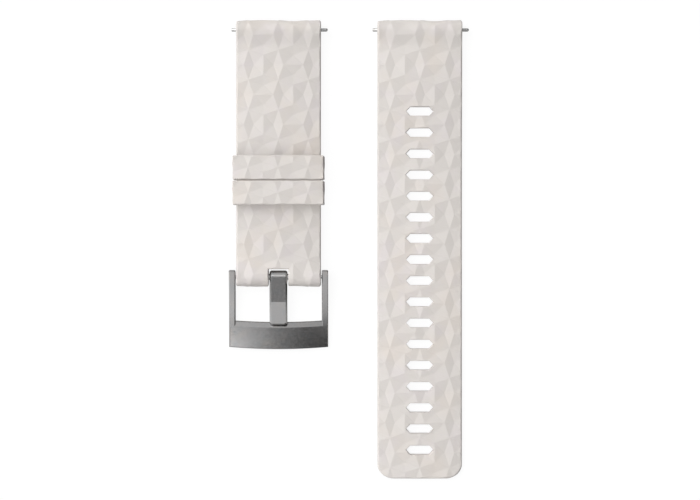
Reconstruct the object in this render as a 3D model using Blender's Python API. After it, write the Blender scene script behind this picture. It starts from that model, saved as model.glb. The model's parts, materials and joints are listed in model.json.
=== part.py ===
"""Two-piece silicone watch strap with a pin buckle, two keepers and quick-release lug bars.

Both halves lie flat on z = 0, patterned side up, with their lug ends level at +Y.
Units are metres and +Z is up. The origin is at the middle of the whole part's footprint.
Each half is built around its lug bar's axis, which runs along X through its barrel.
"""

import math

import bmesh
import bpy

MM = 0.001

# Straps
STRAP_WIDTH = 24.0 * MM
STRAP_THICKNESS = 2.6 * MM
TAIL_THICKNESS = 2.4 * MM
BUCKLE_PIN_DISTANCE = 70.0 * MM  # lug bar axis to buckle bar axis
TAIL_HALF_LENGTH = 130.0 * MM
STRAP_EDGE_RADIUS = 0.45 * MM
HALF_SPACING = 40.0 * MM  # between the centre lines of the two halves

# Barrels that hold the bars
BARREL_HALF_HEIGHT = 2.4 * MM
BARREL_REACH = 2.8 * MM  # bar axis to the strap's end
BARREL_RUN = 5.0 * MM  # over which a barrel thins into the strap
BARREL_END_ANGLE = math.radians(78)

# Tail half
SLOT_COUNT = 17
FIRST_SLOT_DISTANCE = 25.85 * MM  # from the strap's lug end
SLOT_PITCH = 6.0 * MM
SLOT_LENGTH = 7.7 * MM
SLOT_FLAT = 5.4 * MM
SLOT_HEIGHT = 2.5 * MM
TAIL_CORNER_ACROSS = 4.7 * MM
TAIL_CORNER_ALONG = 4.1 * MM
DROOP_START = 9.0 * MM  # from the lug bar axis
DROOP_LENGTH = 30.0 * MM

# Spring bars
BAR_DIAMETER = 1.8 * MM
BAR_WALL = 0.22 * MM
BAR_INSET = 0.5 * MM  # tube end inside the strap's edge
BAR_LIP = 0.3 * MM  # crimped rim that holds a tip in
BAR_FIT = 0.06 * MM  # radial clearance of a tip inside the tube
BAR_CHANNEL_CLEARANCE = 0.15 * MM
PIN_DIAMETER = 1.0 * MM
PIN_CHAMFER = 0.12 * MM
FIXED_TIP_REACH = 1.4 * MM  # beyond the strap's edge
FIXED_TIP_SHOULDER = 2.0 * MM
PLUNGER_REACH = 1.9 * MM
PLUNGER_TRAVEL = 1.9 * MM
PLUNGER_TAPER = 0.4 * MM
BUCKLE_TIP_DEPTH = 0.9 * MM  # into a frame arm
BUCKLE_TIP_SHOULDER = 3.0 * MM
SPRING_WIRE = 0.18 * MM
SPRING_FIT = 0.1 * MM
SPRING_PITCH = 1.3 * MM
END_GAP = 0.06 * MM  # between pieces that meet end to end inside a tube

# Release lever
LEVER_DISTANCE = 4.5 * MM  # from the tube's end
LEVER_STEM_DIAMETER = 0.5 * MM
LEVER_KNOB_DIAMETER = 1.3 * MM
LEVER_STEM_FIT = 0.06 * MM
LEVER_SLOT_CLEARANCE = 0.15 * MM
LEVER_FLOOR_GAP = 0.35 * MM
LEVER_TUBE_GAP = 0.12 * MM
LEVER_WINDOW_MARGIN = 0.9 * MM

# Buckle
FRAME_SIDE_CLEARANCE = 0.26 * MM
ARM_WIDTH = 1.78 * MM
ARM_END_RADIUS = 1.98 * MM
ARM_END_LEVEL = 2.2 * MM  # above the bar axis
ARM_END_CORNER = 0.4 * MM
ARM_STATIONS = 8
ARM_PIN_CLEARANCE = 0.15 * MM
PLATE_TOP = 2.5 * MM  # above the table
WINDOW_END = 12.4 * MM  # from the bar axis, at the arms
LEDGE_LENGTH = 1.55 * MM
LEDGE_DROP = 0.9 * MM
WINDOW_BULGE = 0.42 * MM
PLATE_LENGTH = 5.92 * MM
PLATE_BULGE = 0.6 * MM
PLATE_CROWN = 0.8 * MM  # how far its top falls from the middle to each side
PLATE_STATIONS = 13
FRAME_CHAMFER = 0.25 * MM

# Tongue
TONGUE_WIDTH = 5.0 * MM
TONGUE_THICKNESS = 1.5 * MM
TONGUE_BEND = 7.06 * MM  # from the bar axis
TONGUE_TIP_THICKNESS = 0.6 * MM
TONGUE_PAD = 0.9 * MM
TONGUE_EDGE = 0.22 * MM
TONGUE_REST_GAP = 0.15 * MM
TONGUE_TIP_GAP = 0.72 * MM  # tip to the plate, along Y
EYE_WALL = 0.83 * MM
EYE_CLEARANCE = 0.12 * MM
TONGUE_SLOT_CLEARANCE = 0.3 * MM
TONGUE_SLOT_END_CLEARANCE = 0.5 * MM

# Keepers
KEEPER_LENGTH = 6.8 * MM
KEEPER_GAP = 0.3 * MM
UPPER_KEEPER_DISTANCE = 41.9 * MM  # its middle, from the strap's lug end
KEEPER_WALL = 1.0 * MM
KEEPER_SIDE_CLEARANCE = 0.25 * MM
KEEPER_CLEARANCE = 0.3 * MM  # above and below the strap and a tail on it
KEEPER_CORNER = 0.8 * MM
KEEPER_INSIDE_CORNER = 0.1 * MM

# Derived sizes and places. Local heights are from the bar axis.
STRAP_RISE = KEEPER_WALL + KEEPER_CLEARANCE
AXIS_HEIGHT = BARREL_HALF_HEIGHT
FLOOR = -AXIS_HEIGHT
BORE_RADIUS = BAR_DIAMETER / 2 - BAR_WALL
TUBE_HALF_LENGTH = STRAP_WIDTH / 2 - BAR_INSET
SHOULDER_RADIUS = BORE_RADIUS - BAR_FIT
SHOULDER_START = TUBE_HALF_LENGTH - BAR_LIP - END_GAP
FRAME_INNER = STRAP_WIDTH / 2 + FRAME_SIDE_CLEARANCE
FRAME_OUTER = FRAME_INNER + ARM_WIDTH
LEDGE_END = WINDOW_END + LEDGE_LENGTH
PLATE_END = LEDGE_END + PLATE_LENGTH
PLATE_LEVEL = PLATE_TOP - AXIS_HEIGHT
EYE_RADIUS = BAR_DIAMETER / 2 + EYE_CLEARANCE + EYE_WALL
KEEPER_INNER = STRAP_WIDTH / 2 + KEEPER_SIDE_CLEARANCE
KEEPER_HEIGHT = 2 * KEEPER_WALL + STRAP_THICKNESS + TAIL_THICKNESS + 3 * KEEPER_CLEARANCE
LEVER_PLACE = TUBE_HALF_LENGTH - LEVER_DISTANCE

LEFT_REACH = max(FRAME_OUTER, KEEPER_INNER + KEEPER_WALL, STRAP_WIDTH / 2 + FIXED_TIP_REACH)
RIGHT_REACH = STRAP_WIDTH / 2 + PLUNGER_REACH
BUCKLE_HALF_LENGTH = BARREL_REACH + BUCKLE_PIN_DISTANCE + PLATE_END + PLATE_BULGE
OVERALL_LENGTH = max(TAIL_HALF_LENGTH, BUCKLE_HALF_LENGTH)
LUG_AXIS_Y = OVERALL_LENGTH / 2 - BARREL_REACH
MIDDLE_SHIFT = (LEFT_REACH - RIGHT_REACH) / 2
BUCKLE_HALF_PLACE = (MIDDLE_SHIFT - HALF_SPACING / 2, LUG_AXIS_Y, AXIS_HEIGHT)
TAIL_HALF_PLACE = (MIDDLE_SHIFT + HALF_SPACING / 2, LUG_AXIS_Y, AXIS_HEIGHT)

ROUND_SIDES = 20
CHANNEL_SIDES = 28
ARC_STEPS = 7
THROUGH = 3.0 * MM  # how far a cutter runs past what it cuts


# Tools


def clear_scene():
    for old in list(bpy.data.objects):
        bpy.data.objects.remove(old)


def finish(name, colour, roughness, metallic=0.0):
    """A Principled material of one colour."""
    made = bpy.data.materials.new(name)
    made.use_nodes = True
    shader = made.node_tree.nodes["Principled BSDF"]
    shader.inputs["Base Color"].default_value = (*colour, 1.0)
    shader.inputs["Roughness"].default_value = roughness
    shader.inputs["Metallic"].default_value = metallic
    return made


def empty(name, place, parent=None):
    """An empty on a joint's axis, for the pieces that share that axis."""
    made = bpy.data.objects.new(name, None)
    made.location = place
    made.parent = parent
    bpy.context.scene.collection.objects.link(made)
    return made


def solid(name, shape, parent, place=(0, 0, 0), look=None):
    """An object from a bmesh, at a place in its parent's frame. With no look it is a cutter."""
    bmesh.ops.recalc_face_normals(shape, faces=shape.faces)
    mesh = bpy.data.meshes.new(name)
    shape.to_mesh(mesh)
    shape.free()
    mesh.shade_smooth()
    mesh.set_sharp_from_angle(angle=math.radians(35))
    made = bpy.data.objects.new(name, mesh)
    made.location = place
    made.parent = parent
    bpy.context.scene.collection.objects.link(made)
    if look:
        mesh.materials.append(look)
    else:
        made.hide_render = True
        made.display_type = "WIRE"
    return made


def combine(target, other, operation="DIFFERENCE"):
    """Cuts the other object from the target, or joins it on."""
    step = target.modifiers.new(other.name, "BOOLEAN")
    step.operation = operation
    step.solver = "EXACT"
    step.object = other


def loft(rings):
    """A closed body through rings of as many points each, with a flat cap on each end ring."""
    shape = bmesh.new()
    rows = [[shape.verts.new(point) for point in ring] for ring in rings]
    for before, after in zip(rows, rows[1:]):
        for i in range(len(before)):
            j = (i + 1) % len(before)
            shape.faces.new((before[i], before[j], after[j], after[i]))
    shape.faces.new(rows[0])
    shape.faces.new(reversed(rows[-1]))
    return shape


def prism(outline, low, high, axis):
    """An outline of pairs, extruded from low to high along X, Y or Z.

    The pairs are the other two coordinates, in the order X, Y, Z.
    """

    def point(pair, along):
        values = list(pair)
        values.insert("XYZ".index(axis), along)
        return values

    return loft([[point(pair, along) for pair in outline] for along in (low, high)])


def box(low, high):
    """A block between two corners."""
    outline = [(low[0], low[1]), (high[0], low[1]), (high[0], high[1]), (low[0], high[1])]
    return prism(outline, low[2], high[2], "Z")


def turned(profile, sides=ROUND_SIDES, axis="X", closed=False):
    """A profile of (along, radius) pairs turned round the X or the Z axis.

    An open profile starts and ends on the axis. A closed one makes a tube.
    """
    shape = bmesh.new()
    spin_axis = (1, 0, 0) if axis == "X" else (0, 0, 1)
    points = [(a, r, 0) if axis == "X" else (r, 0, a) for a, r in profile]
    verts = [shape.verts.new(point) for point in points]
    edges = [shape.edges.new(pair) for pair in zip(verts, verts[1:])]
    if closed:
        edges.append(shape.edges.new((verts[-1], verts[0])))
    bmesh.ops.spin(
        shape,
        geom=verts + edges,
        cent=(0, 0, 0),
        axis=spin_axis,
        angle=2 * math.pi,
        steps=sides,
        use_merge=True,
    )
    bmesh.ops.remove_doubles(shape, verts=shape.verts, dist=1e-7)
    return shape


def rod(start, end, radius, sides=CHANNEL_SIDES, axis="X"):
    """A plain round bar, mostly for cutting."""
    return turned([(start, 0), (start, radius), (end, radius), (end, 0)], sides, axis)


def arc(centre, across, along, start, end, steps=ARC_STEPS):
    """Points on an arc or a quarter of an ellipse, with angles in degrees."""
    angles = [math.radians(start + (end - start) * i / steps) for i in range(steps + 1)]
    return [(centre[0] + across * math.cos(a), centre[1] + along * math.sin(a)) for a in angles]


def rounded_rectangle(half_width, low, high, radius):
    """An outline with four round corners, from its lower right corner round."""
    corners = (
        (half_width - radius, low + radius, -90),
        (half_width - radius, high - radius, 0),
        (radius - half_width, high - radius, 90),
        (radius - half_width, low + radius, 180),
    )
    outline = []
    for x, z, start in corners:
        outline += arc((x, z), radius, radius, start, start + 90, steps=4)
    return outline


def smooth_step(share):
    share = min(max(share, 0.0), 1.0)
    return share * share * (3 - 2 * share)


def mix(first, second, share):
    return first + (second - first) * share


# Straps


def strap_ring(y, half_width, low, high):
    """The strap's section at y: a flat band with rounded edges."""
    radius = min(STRAP_EDGE_RADIUS, 0.45 * (high - low))
    side = half_width - radius
    ring = []
    for x, z, start in ((side, low, -90), (side, high, 0), (-side, high, 90), (-side, low, 180)):
        middle = z + radius if z == low else z - radius
        corner = arc((x, middle), radius, radius, start, start + 90, steps=2)
        ring += [(px, y, pz) for px, pz in corner]
    return ring


def barrel_levels(past_axis, low, high):
    """Lowest and highest level of a strap at a distance past a bar's axis, thinning from the barrel."""
    share = smooth_step(past_axis / BARREL_RUN)
    return mix(-BARREL_HALF_HEIGHT, low, share), mix(BARREL_HALF_HEIGHT, high, share)


def barrel_end(axis_y, outward):
    """Rings round a barrel's free end, from the end's small flat to its axis."""
    rings = []
    for i in range(ARC_STEPS):
        angle = BARREL_END_ANGLE * (1 - i / ARC_STEPS)
        height = BARREL_HALF_HEIGHT * math.cos(angle)
        reach = BARREL_REACH * math.sin(angle) / math.sin(BARREL_END_ANGLE)
        rings.append(strap_ring(axis_y + outward * reach, STRAP_WIDTH / 2, -height, height))
    return rings


def barrel_run(axis_y, inward, levels):
    """Rings from a bar's axis to where the barrel has thinned into the strap."""
    rings = []
    for i in range(ARC_STEPS + 1):
        past = BARREL_RUN * i / ARC_STEPS
        low, high = barrel_levels(past, *levels(past))
        rings.append(strap_ring(axis_y + inward * past, STRAP_WIDTH / 2, low, high))
    return rings


def buckle_strap_shape():
    """The short strap: a barrel at the lug bar, a flat band and a barrel at the buckle bar."""
    flat = (FLOOR + STRAP_RISE, FLOOR + STRAP_RISE + STRAP_THICKNESS)
    lug = barrel_end(0, 1) + barrel_run(0, -1, lambda past: flat)
    axis_y = -BUCKLE_PIN_DISTANCE
    buckle = barrel_end(axis_y, -1) + barrel_run(axis_y, 1, lambda past: flat)
    return loft(lug + buckle[::-1])


def tail_levels(past_axis):
    """The long strap droops from its barrel's height to the table and thins towards its tip."""
    droop = smooth_step((past_axis - DROOP_START) / DROOP_LENGTH)
    low = mix(FLOOR + STRAP_RISE, FLOOR, droop)
    share = past_axis / (TAIL_HALF_LENGTH - BARREL_REACH)
    return low, low + mix(STRAP_THICKNESS, TAIL_THICKNESS, min(share, 1.0))


def tail_strap_shape():
    """The long strap: a barrel, a drooping stretch, a flat stretch and a tail with round corners."""
    rings = barrel_end(0, 1) + barrel_run(0, -1, tail_levels)
    for i in range(ARC_STEPS + 1):
        past = DROOP_START + DROOP_LENGTH * i / ARC_STEPS
        rings.append(strap_ring(-past, STRAP_WIDTH / 2, *tail_levels(past)))
    corner_start = TAIL_HALF_LENGTH - BARREL_REACH - TAIL_CORNER_ALONG
    for across, along in arc((0, 0), TAIL_CORNER_ACROSS, TAIL_CORNER_ALONG, 0, 90):
        past = corner_start + along
        half_width = STRAP_WIDTH / 2 - TAIL_CORNER_ACROSS + across
        rings.append(strap_ring(-past, half_width, *tail_levels(past)))
    return loft(rings)


def slot_cutter_shape():
    """Every slot of the tail half, each a long hexagon."""
    outline = []
    for side in (1, -1):
        outline += [
            (side * SLOT_FLAT / 2, -side * SLOT_HEIGHT / 2),
            (side * SLOT_LENGTH / 2, 0),
            (side * SLOT_FLAT / 2, side * SLOT_HEIGHT / 2),
        ]
    shape = bmesh.new()
    for i in range(SLOT_COUNT):
        y = BARREL_REACH - FIRST_SLOT_DISTANCE - i * SLOT_PITCH
        levels = (FLOOR - THROUGH, THROUGH)
        rows = [[shape.verts.new((px, y + py, z)) for px, py in outline] for z in levels]
        for j in range(len(outline)):
            k = (j + 1) % len(outline)
            shape.faces.new((rows[0][j], rows[0][k], rows[1][k], rows[1][j]))
        shape.faces.new(rows[0])
        shape.faces.new(reversed(rows[1]))
    return shape


def lever_window_shape():
    """The window under a lug barrel, where a fingernail pulls the lever."""
    half_depth = LEVER_KNOB_DIAMETER / 2 + LEVER_WINDOW_MARGIN
    inner = LEVER_PLACE - PLUNGER_TRAVEL - half_depth
    return box((inner, -half_depth, FLOOR - THROUGH), (LEVER_PLACE + half_depth, half_depth, 0))


def tongue_slot_shape():
    """The slot in the buckle barrel that the tongue swings in, open at the strap's end."""
    half_width = TONGUE_WIDTH / 2 + TONGUE_SLOT_CLEARANCE
    depth = EYE_RADIUS + TONGUE_SLOT_END_CLEARANCE
    return box(
        (-half_width, -BARREL_REACH - THROUGH, FLOOR - THROUGH),
        (half_width, depth, AXIS_HEIGHT + THROUGH),
    )


def channel_shape():
    """The round channel through a barrel for its bar."""
    reach = STRAP_WIDTH / 2 + THROUGH
    return rod(-reach, reach, BAR_DIAMETER / 2 + BAR_CHANNEL_CLEARANCE)


# Spring bars


def tube_shape():
    """A bar's tube, with a crimped lip at each end."""
    radius, pin = BAR_DIAMETER / 2, PIN_DIAMETER / 2 + BAR_FIT
    end, lip = TUBE_HALF_LENGTH, TUBE_HALF_LENGTH - BAR_LIP
    outside = [(-end, pin), (-end, radius), (end, radius), (end, pin)]
    inside = [(lip, pin), (lip, BORE_RADIUS), (-lip, BORE_RADIUS), (-lip, pin)]
    return turned(outside + inside, closed=True)


def tip_shape(reach, shoulder, taper=PIN_CHAMFER):
    """A tip that points to +X: a shoulder kept in by the tube's lip, and a pin past the strap's edge."""
    pin = PIN_DIAMETER / 2
    end = STRAP_WIDTH / 2 + reach
    back = SHOULDER_START - shoulder
    profile = [(back, 0), (back, SHOULDER_RADIUS), (SHOULDER_START, SHOULDER_RADIUS)]
    profile += [(SHOULDER_START, pin), (end - taper, pin), (end, pin - PIN_CHAMFER), (end, 0)]
    return turned(profile)


def plunger_shoulder():
    """Length of a plunger's shoulder, from the lip to just past the lever."""
    return SHOULDER_START - LEVER_PLACE + LEVER_KNOB_DIAMETER


def spring(name, parent, start, end, look):
    """A coil along X between two faces, as a curve with a round section."""
    first, last = start + END_GAP + SPRING_WIRE / 2, end - END_GAP - SPRING_WIRE / 2
    radius = BORE_RADIUS - SPRING_FIT - SPRING_WIRE / 2
    turns = max(round((last - first) / SPRING_PITCH), 2)
    steps = 9 * turns
    curve = bpy.data.curves.new(name, "CURVE")
    curve.dimensions = "3D"
    curve.bevel_depth = SPRING_WIRE / 2
    curve.bevel_resolution = 1
    curve.use_fill_caps = True
    line = curve.splines.new("POLY")
    line.points.add(steps)
    for i, point in enumerate(line.points):
        turn = 2 * math.pi * turns * i / steps
        along = mix(first, last, i / steps)
        point.co = (along, radius * math.cos(turn), radius * math.sin(turn), 1)
    made = bpy.data.objects.new(name, curve)
    made.parent = parent
    curve.materials.append(look)
    bpy.context.scene.collection.objects.link(made)
    return made


def lever_shape():
    """A stem that drops out of the plunger's cross hole, with a knob below the tube."""
    stem, knob = LEVER_STEM_DIAMETER / 2, LEVER_KNOB_DIAMETER / 2
    top = -LEVER_STEM_FIT
    knob_top = -(BAR_DIAMETER / 2 + LEVER_TUBE_GAP)
    floor = FLOOR + LEVER_FLOOR_GAP
    profile = [(top, 0), (top, stem), (knob_top, stem), (knob_top, knob)]
    profile += [(floor + PIN_CHAMFER, knob), (floor, knob - PIN_CHAMFER), (floor, 0)]
    return turned(profile, axis="Z")


def add_lug_bar(prefix, half, looks):
    """A quick-release bar in a lug barrel: tube, fixed tip, spring, plunger and lever."""
    tube = solid(prefix + "_tube", tube_shape(), half, look=looks["bar"])
    slot_half = LEVER_STEM_DIAMETER / 2 + LEVER_SLOT_CLEARANCE
    slot = box(
        (LEVER_PLACE - PLUNGER_TRAVEL - slot_half, -slot_half, -BAR_DIAMETER),
        (LEVER_PLACE + slot_half, slot_half, 0),
    )
    combine(tube, solid(prefix + "_tube_slot", slot, half))
    fixed = tip_shape(FIXED_TIP_REACH, FIXED_TIP_SHOULDER)
    fixed_tip = solid(prefix + "_fixed_tip", fixed, half, look=looks["bar"])
    fixed_tip.rotation_euler = (0, 0, math.pi)
    sliding = empty(prefix + "_slide", (0, 0, 0), half)
    plunger = tip_shape(PLUNGER_REACH, plunger_shoulder(), PLUNGER_TAPER)
    made = solid(prefix + "_plunger", plunger, sliding, look=looks["bar"])
    cross = rod(-BAR_DIAMETER, 0, LEVER_STEM_DIAMETER / 2 + LEVER_STEM_FIT, axis="Z")
    combine(made, solid(prefix + "_cross_hole", cross, sliding, (LEVER_PLACE, 0, 0)))
    solid(prefix + "_lever", lever_shape(), sliding, (LEVER_PLACE, 0, 0), looks["bar"])
    start = FIXED_TIP_SHOULDER - SHOULDER_START
    end = SHOULDER_START - plunger_shoulder()
    spring(prefix + "_spring", half, start, end, looks["spring"])


def add_buckle_bar(axis, looks):
    """The buckle's bar: a tube with a sprung tip at each end."""
    solid("buckle_bar_tube", tube_shape(), axis, look=looks["bar"])
    reach = FRAME_SIDE_CLEARANCE + BUCKLE_TIP_DEPTH
    for side, turn in (("right", 0), ("left", math.pi)):
        tip = tip_shape(reach, BUCKLE_TIP_SHOULDER)
        made = solid(f"buckle_bar_{side}_tip", tip, axis, look=looks["bar"])
        made.rotation_euler = (0, 0, turn)
    end = SHOULDER_START - BUCKLE_TIP_SHOULDER
    spring("buckle_bar_spring", axis, -end, end, looks["spring"])


# Buckle


def bulge(x, half_width, height):
    """How far an edge that bows outwards stands out at x."""
    return height * (1 - (x / half_width) ** 2)


def plate_top(x, past_axis):
    """Height of the frame's crowned top at x, past the bar's axis."""
    fall = PLATE_CROWN * (x / FRAME_OUTER) ** 2
    return PLATE_LEVEL - fall * smooth_step(past_axis / PLATE_END)


def plate_ring(x):
    """The end plate's section at x, with the ledge that slopes down into the window."""
    inner = min(abs(x), FRAME_INNER)
    window = WINDOW_END + bulge(inner, FRAME_INNER, WINDOW_BULGE)
    ledge = LEDGE_END + bulge(inner, FRAME_INNER, WINDOW_BULGE)
    end = PLATE_END + bulge(x, FRAME_OUTER, PLATE_BULGE)
    return [
        (x, -window, FLOOR),
        (x, -window, plate_top(x, window) - LEDGE_DROP),
        (x, -ledge, plate_top(x, ledge)),
        (x, FRAME_CHAMFER - end, plate_top(x, end)),
        (x, -end, plate_top(x, end) - FRAME_CHAMFER),
        (x, -end, FLOOR + FRAME_CHAMFER),
        (x, FRAME_CHAMFER - end, FLOOR),
    ]


def arm_level(y):
    """Height of an arm's top, which falls from its end to the plate in one hollow curve."""
    rest = (y + LEDGE_END) / (ARM_END_RADIUS + LEDGE_END)
    fall = PLATE_LEVEL - plate_top((FRAME_INNER + FRAME_OUTER) / 2, -y)
    return mix(PLATE_LEVEL, ARM_END_LEVEL, rest**2) - fall


def arm_outline():
    """A frame arm from the side: blunt at the bar, round below it, tapering down to the plate."""
    start = ARM_END_RADIUS - ARM_END_CORNER
    corner_place = (start, arm_level(start) - ARM_END_CORNER)
    corner = arc(corner_place, ARM_END_CORNER, ARM_END_CORNER, 90, 0, steps=4)
    under = arc((0, 0), ARM_END_RADIUS, ARM_END_RADIUS, 0, -90, steps=6)
    heel = ARM_END_RADIUS * 3
    end = PLATE_END - PLATE_LENGTH / 2
    buried = plate_top(FRAME_OUTER, PLATE_END) - FRAME_CHAMFER  # clear below the plate's top
    foot = [(-heel, FLOOR), (-end, FLOOR), (-end, buried), (-LEDGE_END - FRAME_CHAMFER, buried)]
    top = [mix(-LEDGE_END, start, i / ARM_STATIONS) for i in range(ARM_STATIONS)]
    return corner + under + foot + [(y, arm_level(y)) for y in top]


def add_frame(axis, looks):
    """The frame: an end plate and two arms with blind holes for the bar's tips."""
    stations = [FRAME_OUTER * (2 * i / (PLATE_STATIONS - 1) - 1) for i in range(PLATE_STATIONS)]
    frame = solid("buckle_frame", loft([plate_ring(x) for x in stations]), axis, look=looks["steel"])
    overlap = 0.02 * MM  # arms stand just inside the plate's ends, so that the two join cleanly
    for side in (-1, 1):
        near, far = sorted((side * FRAME_INNER, side * (FRAME_OUTER - overlap)))
        arm = solid(f"frame_arm_{side}", prism(arm_outline(), near, far, "X"), axis)
        combine(frame, arm, "UNION")
    depth = FRAME_INNER + BUCKLE_TIP_DEPTH + ARM_PIN_CLEARANCE
    holes = rod(-depth, depth, PIN_DIAMETER / 2 + ARM_PIN_CLEARANCE)
    combine(frame, solid("frame_pin_holes", holes, axis))


def ledge_level(past_axis):
    """Height of the ledge at its middle, past the bar's axis."""
    start = WINDOW_END + WINDOW_BULGE
    return PLATE_LEVEL - LEDGE_DROP * (1 - (past_axis - start) / LEDGE_LENGTH)


def tongue_outline():
    """The tongue from the side: a round eye, a level shaft, a bend and a tip that rests on the ledge."""
    eye = arc((0, 0), EYE_RADIUS, EYE_RADIUS, 90, -120, steps=14)
    tip = LEDGE_END + WINDOW_BULGE - TONGUE_TIP_GAP
    pad = tip - TONGUE_PAD
    tip_low = ledge_level(tip) + TONGUE_REST_GAP
    under_eye = math.sqrt(EYE_RADIUS**2 - (EYE_RADIUS - TONGUE_THICKNESS) ** 2)
    return eye + [
        (-under_eye, EYE_RADIUS - TONGUE_THICKNESS),
        (-TONGUE_BEND, EYE_RADIUS - TONGUE_THICKNESS),
        (-pad, ledge_level(pad) + TONGUE_REST_GAP),
        (-tip, tip_low),
        (-tip, tip_low + TONGUE_TIP_THICKNESS),
        (-TONGUE_BEND, EYE_RADIUS),
    ]


def add_tongue(axis, looks):
    """The tongue, rolled round the bar's tube."""
    half_width = TONGUE_WIDTH / 2
    shaft = prism(tongue_outline(), -half_width, half_width, "X")
    tongue = solid("buckle_tongue", shaft, axis, look=looks["steel"])
    soften = tongue.modifiers.new("edges", "BEVEL")
    soften.width = TONGUE_EDGE
    soften.segments = 1
    soften.limit_method = "ANGLE"
    soften.angle_limit = math.radians(50)
    reach = half_width + THROUGH
    bore = rod(-reach, reach, BAR_DIAMETER / 2 + EYE_CLEARANCE)
    combine(tongue, solid("tongue_eye_bore", bore, axis))


# Keepers


def add_keeper(name, half, distance, looks):
    """A loop round the strap with room for the tail on top, in its own frame on the table."""
    outer = KEEPER_INNER + KEEPER_WALL
    length = KEEPER_LENGTH / 2
    outline = rounded_rectangle(outer, 0, KEEPER_HEIGHT, KEEPER_CORNER)
    ceiling = KEEPER_HEIGHT - KEEPER_WALL
    inside = rounded_rectangle(KEEPER_INNER, KEEPER_WALL, ceiling, KEEPER_INSIDE_CORNER)
    place = (0, BARREL_REACH - distance, FLOOR)
    keeper = solid(name, prism(outline, -length, length, "Y"), half, place, looks["silicone"])
    opening = prism(inside, -length - THROUGH, length + THROUGH, "Y")
    combine(keeper, solid(name + "_opening", opening, half, place))


# The two halves


def build_buckle_half(looks):
    half = empty("buckle_half", BUCKLE_HALF_PLACE)
    axis = empty("buckle_bar_axis", (0, -BUCKLE_PIN_DISTANCE, 0), half)
    strap = solid("strap_buckle_half", buckle_strap_shape(), half, look=looks["silicone"])
    combine(strap, solid("buckle_half_lug_channel", channel_shape(), half))
    combine(strap, solid("buckle_half_lever_window", lever_window_shape(), half))
    combine(strap, solid("buckle_half_bar_channel", channel_shape(), axis))
    combine(strap, solid("buckle_half_tongue_slot", tongue_slot_shape(), axis))
    add_lug_bar("buckle_lug", half, looks)
    add_buckle_bar(axis, looks)
    add_frame(axis, looks)
    add_tongue(axis, looks)
    add_keeper("upper_keeper", half, UPPER_KEEPER_DISTANCE, looks)
    add_keeper("lower_keeper", half, UPPER_KEEPER_DISTANCE + KEEPER_LENGTH + KEEPER_GAP, looks)


def build_tail_half(looks):
    half = empty("tail_half", TAIL_HALF_PLACE)
    strap = solid("strap_tail_half", tail_strap_shape(), half, look=looks["silicone"])
    combine(strap, solid("tail_slots", slot_cutter_shape(), half))
    combine(strap, solid("tail_half_lug_channel", channel_shape(), half))
    combine(strap, solid("tail_half_lever_window", lever_window_shape(), half))
    add_lug_bar("tail_lug", half, looks)


def main():
    clear_scene()
    looks = {
        "silicone": finish("warm grey silicone", (0.73, 0.68, 0.63), 0.55),
        "steel": finish("satin grey steel", (0.33, 0.33, 0.34), 0.32, 1.0),
        "bar": finish("bright steel bar", (0.55, 0.55, 0.55), 0.25, 1.0),
        "spring": finish("spring wire", (0.45, 0.45, 0.46), 0.3, 1.0),
    }
    build_buckle_half(looks)
    build_tail_half(looks)


main()
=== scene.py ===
"""Looks of a two-piece silicone watch strap with a pin buckle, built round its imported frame.

Units are metres and +Z is up. Each half lies along Y, its lug end at +Y and its patterned side up.

Most pieces start as a flat sheet. A sheet's vertices hold (across, along, level): two lengths on the
unrolled piece and a level that its maker gives a meaning, such as the height of a moulded facet.
SheetBody then places an upper and a lower skin of that sheet in space and closes them with a rim.
"""

import json
import logging
import math
from collections.abc import Callable, Iterable, Sequence
from dataclasses import dataclass, field
from enum import Enum

import bmesh
import bpy
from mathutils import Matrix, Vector

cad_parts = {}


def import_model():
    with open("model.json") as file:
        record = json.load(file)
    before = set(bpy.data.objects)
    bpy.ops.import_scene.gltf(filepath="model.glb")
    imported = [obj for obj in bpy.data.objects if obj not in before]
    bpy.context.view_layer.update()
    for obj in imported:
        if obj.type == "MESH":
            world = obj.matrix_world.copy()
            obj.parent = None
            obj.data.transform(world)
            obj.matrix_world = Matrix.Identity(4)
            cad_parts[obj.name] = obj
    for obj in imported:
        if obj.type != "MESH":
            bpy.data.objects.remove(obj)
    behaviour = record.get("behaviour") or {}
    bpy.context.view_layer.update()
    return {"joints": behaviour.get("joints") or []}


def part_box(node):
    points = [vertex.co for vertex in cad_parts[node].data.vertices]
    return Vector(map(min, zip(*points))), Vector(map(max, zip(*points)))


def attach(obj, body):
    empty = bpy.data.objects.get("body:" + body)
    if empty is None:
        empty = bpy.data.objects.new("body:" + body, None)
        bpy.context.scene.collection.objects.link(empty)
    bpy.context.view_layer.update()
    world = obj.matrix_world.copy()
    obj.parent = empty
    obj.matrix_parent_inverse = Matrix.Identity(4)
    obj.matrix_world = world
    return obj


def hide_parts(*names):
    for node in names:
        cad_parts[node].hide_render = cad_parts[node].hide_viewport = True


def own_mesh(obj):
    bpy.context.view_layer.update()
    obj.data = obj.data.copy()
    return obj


MM = 0.001
TINY = 1e-7
QUARTER_TURN = math.pi / 2
MEET = 10 * TINY  # two lengths nearer than this are the same place
SOFT_ANGLE = 40  # degrees up to which an edge is shaded smooth
CUT_ANGLE = 45  # the same, where a piece has been cut
STEEL_ANGLE = 24  # the same, on the buckle
WIRE_ANGLE = 50  # the same, on spring wire
CUT_MARGIN = 1 * MM  # how far a cutter stands out of what it cuts
SLOPE_STEP = 0.05 * MM  # between the two heights that give a strap's slope
LEVEL_FADE = 1.5  # how much sooner a rim has its own level than it ends
LOG = logging.getLogger("watch_strap")

Pair = tuple[float, float]


class Skin(Enum):
    """The two sides of a sheet."""

    UPPER = 1
    LOWER = -1


class Edge(Enum):
    """How an edge is broken."""

    ROUND = "round"
    CHAMFER = "chamfer"


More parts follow.
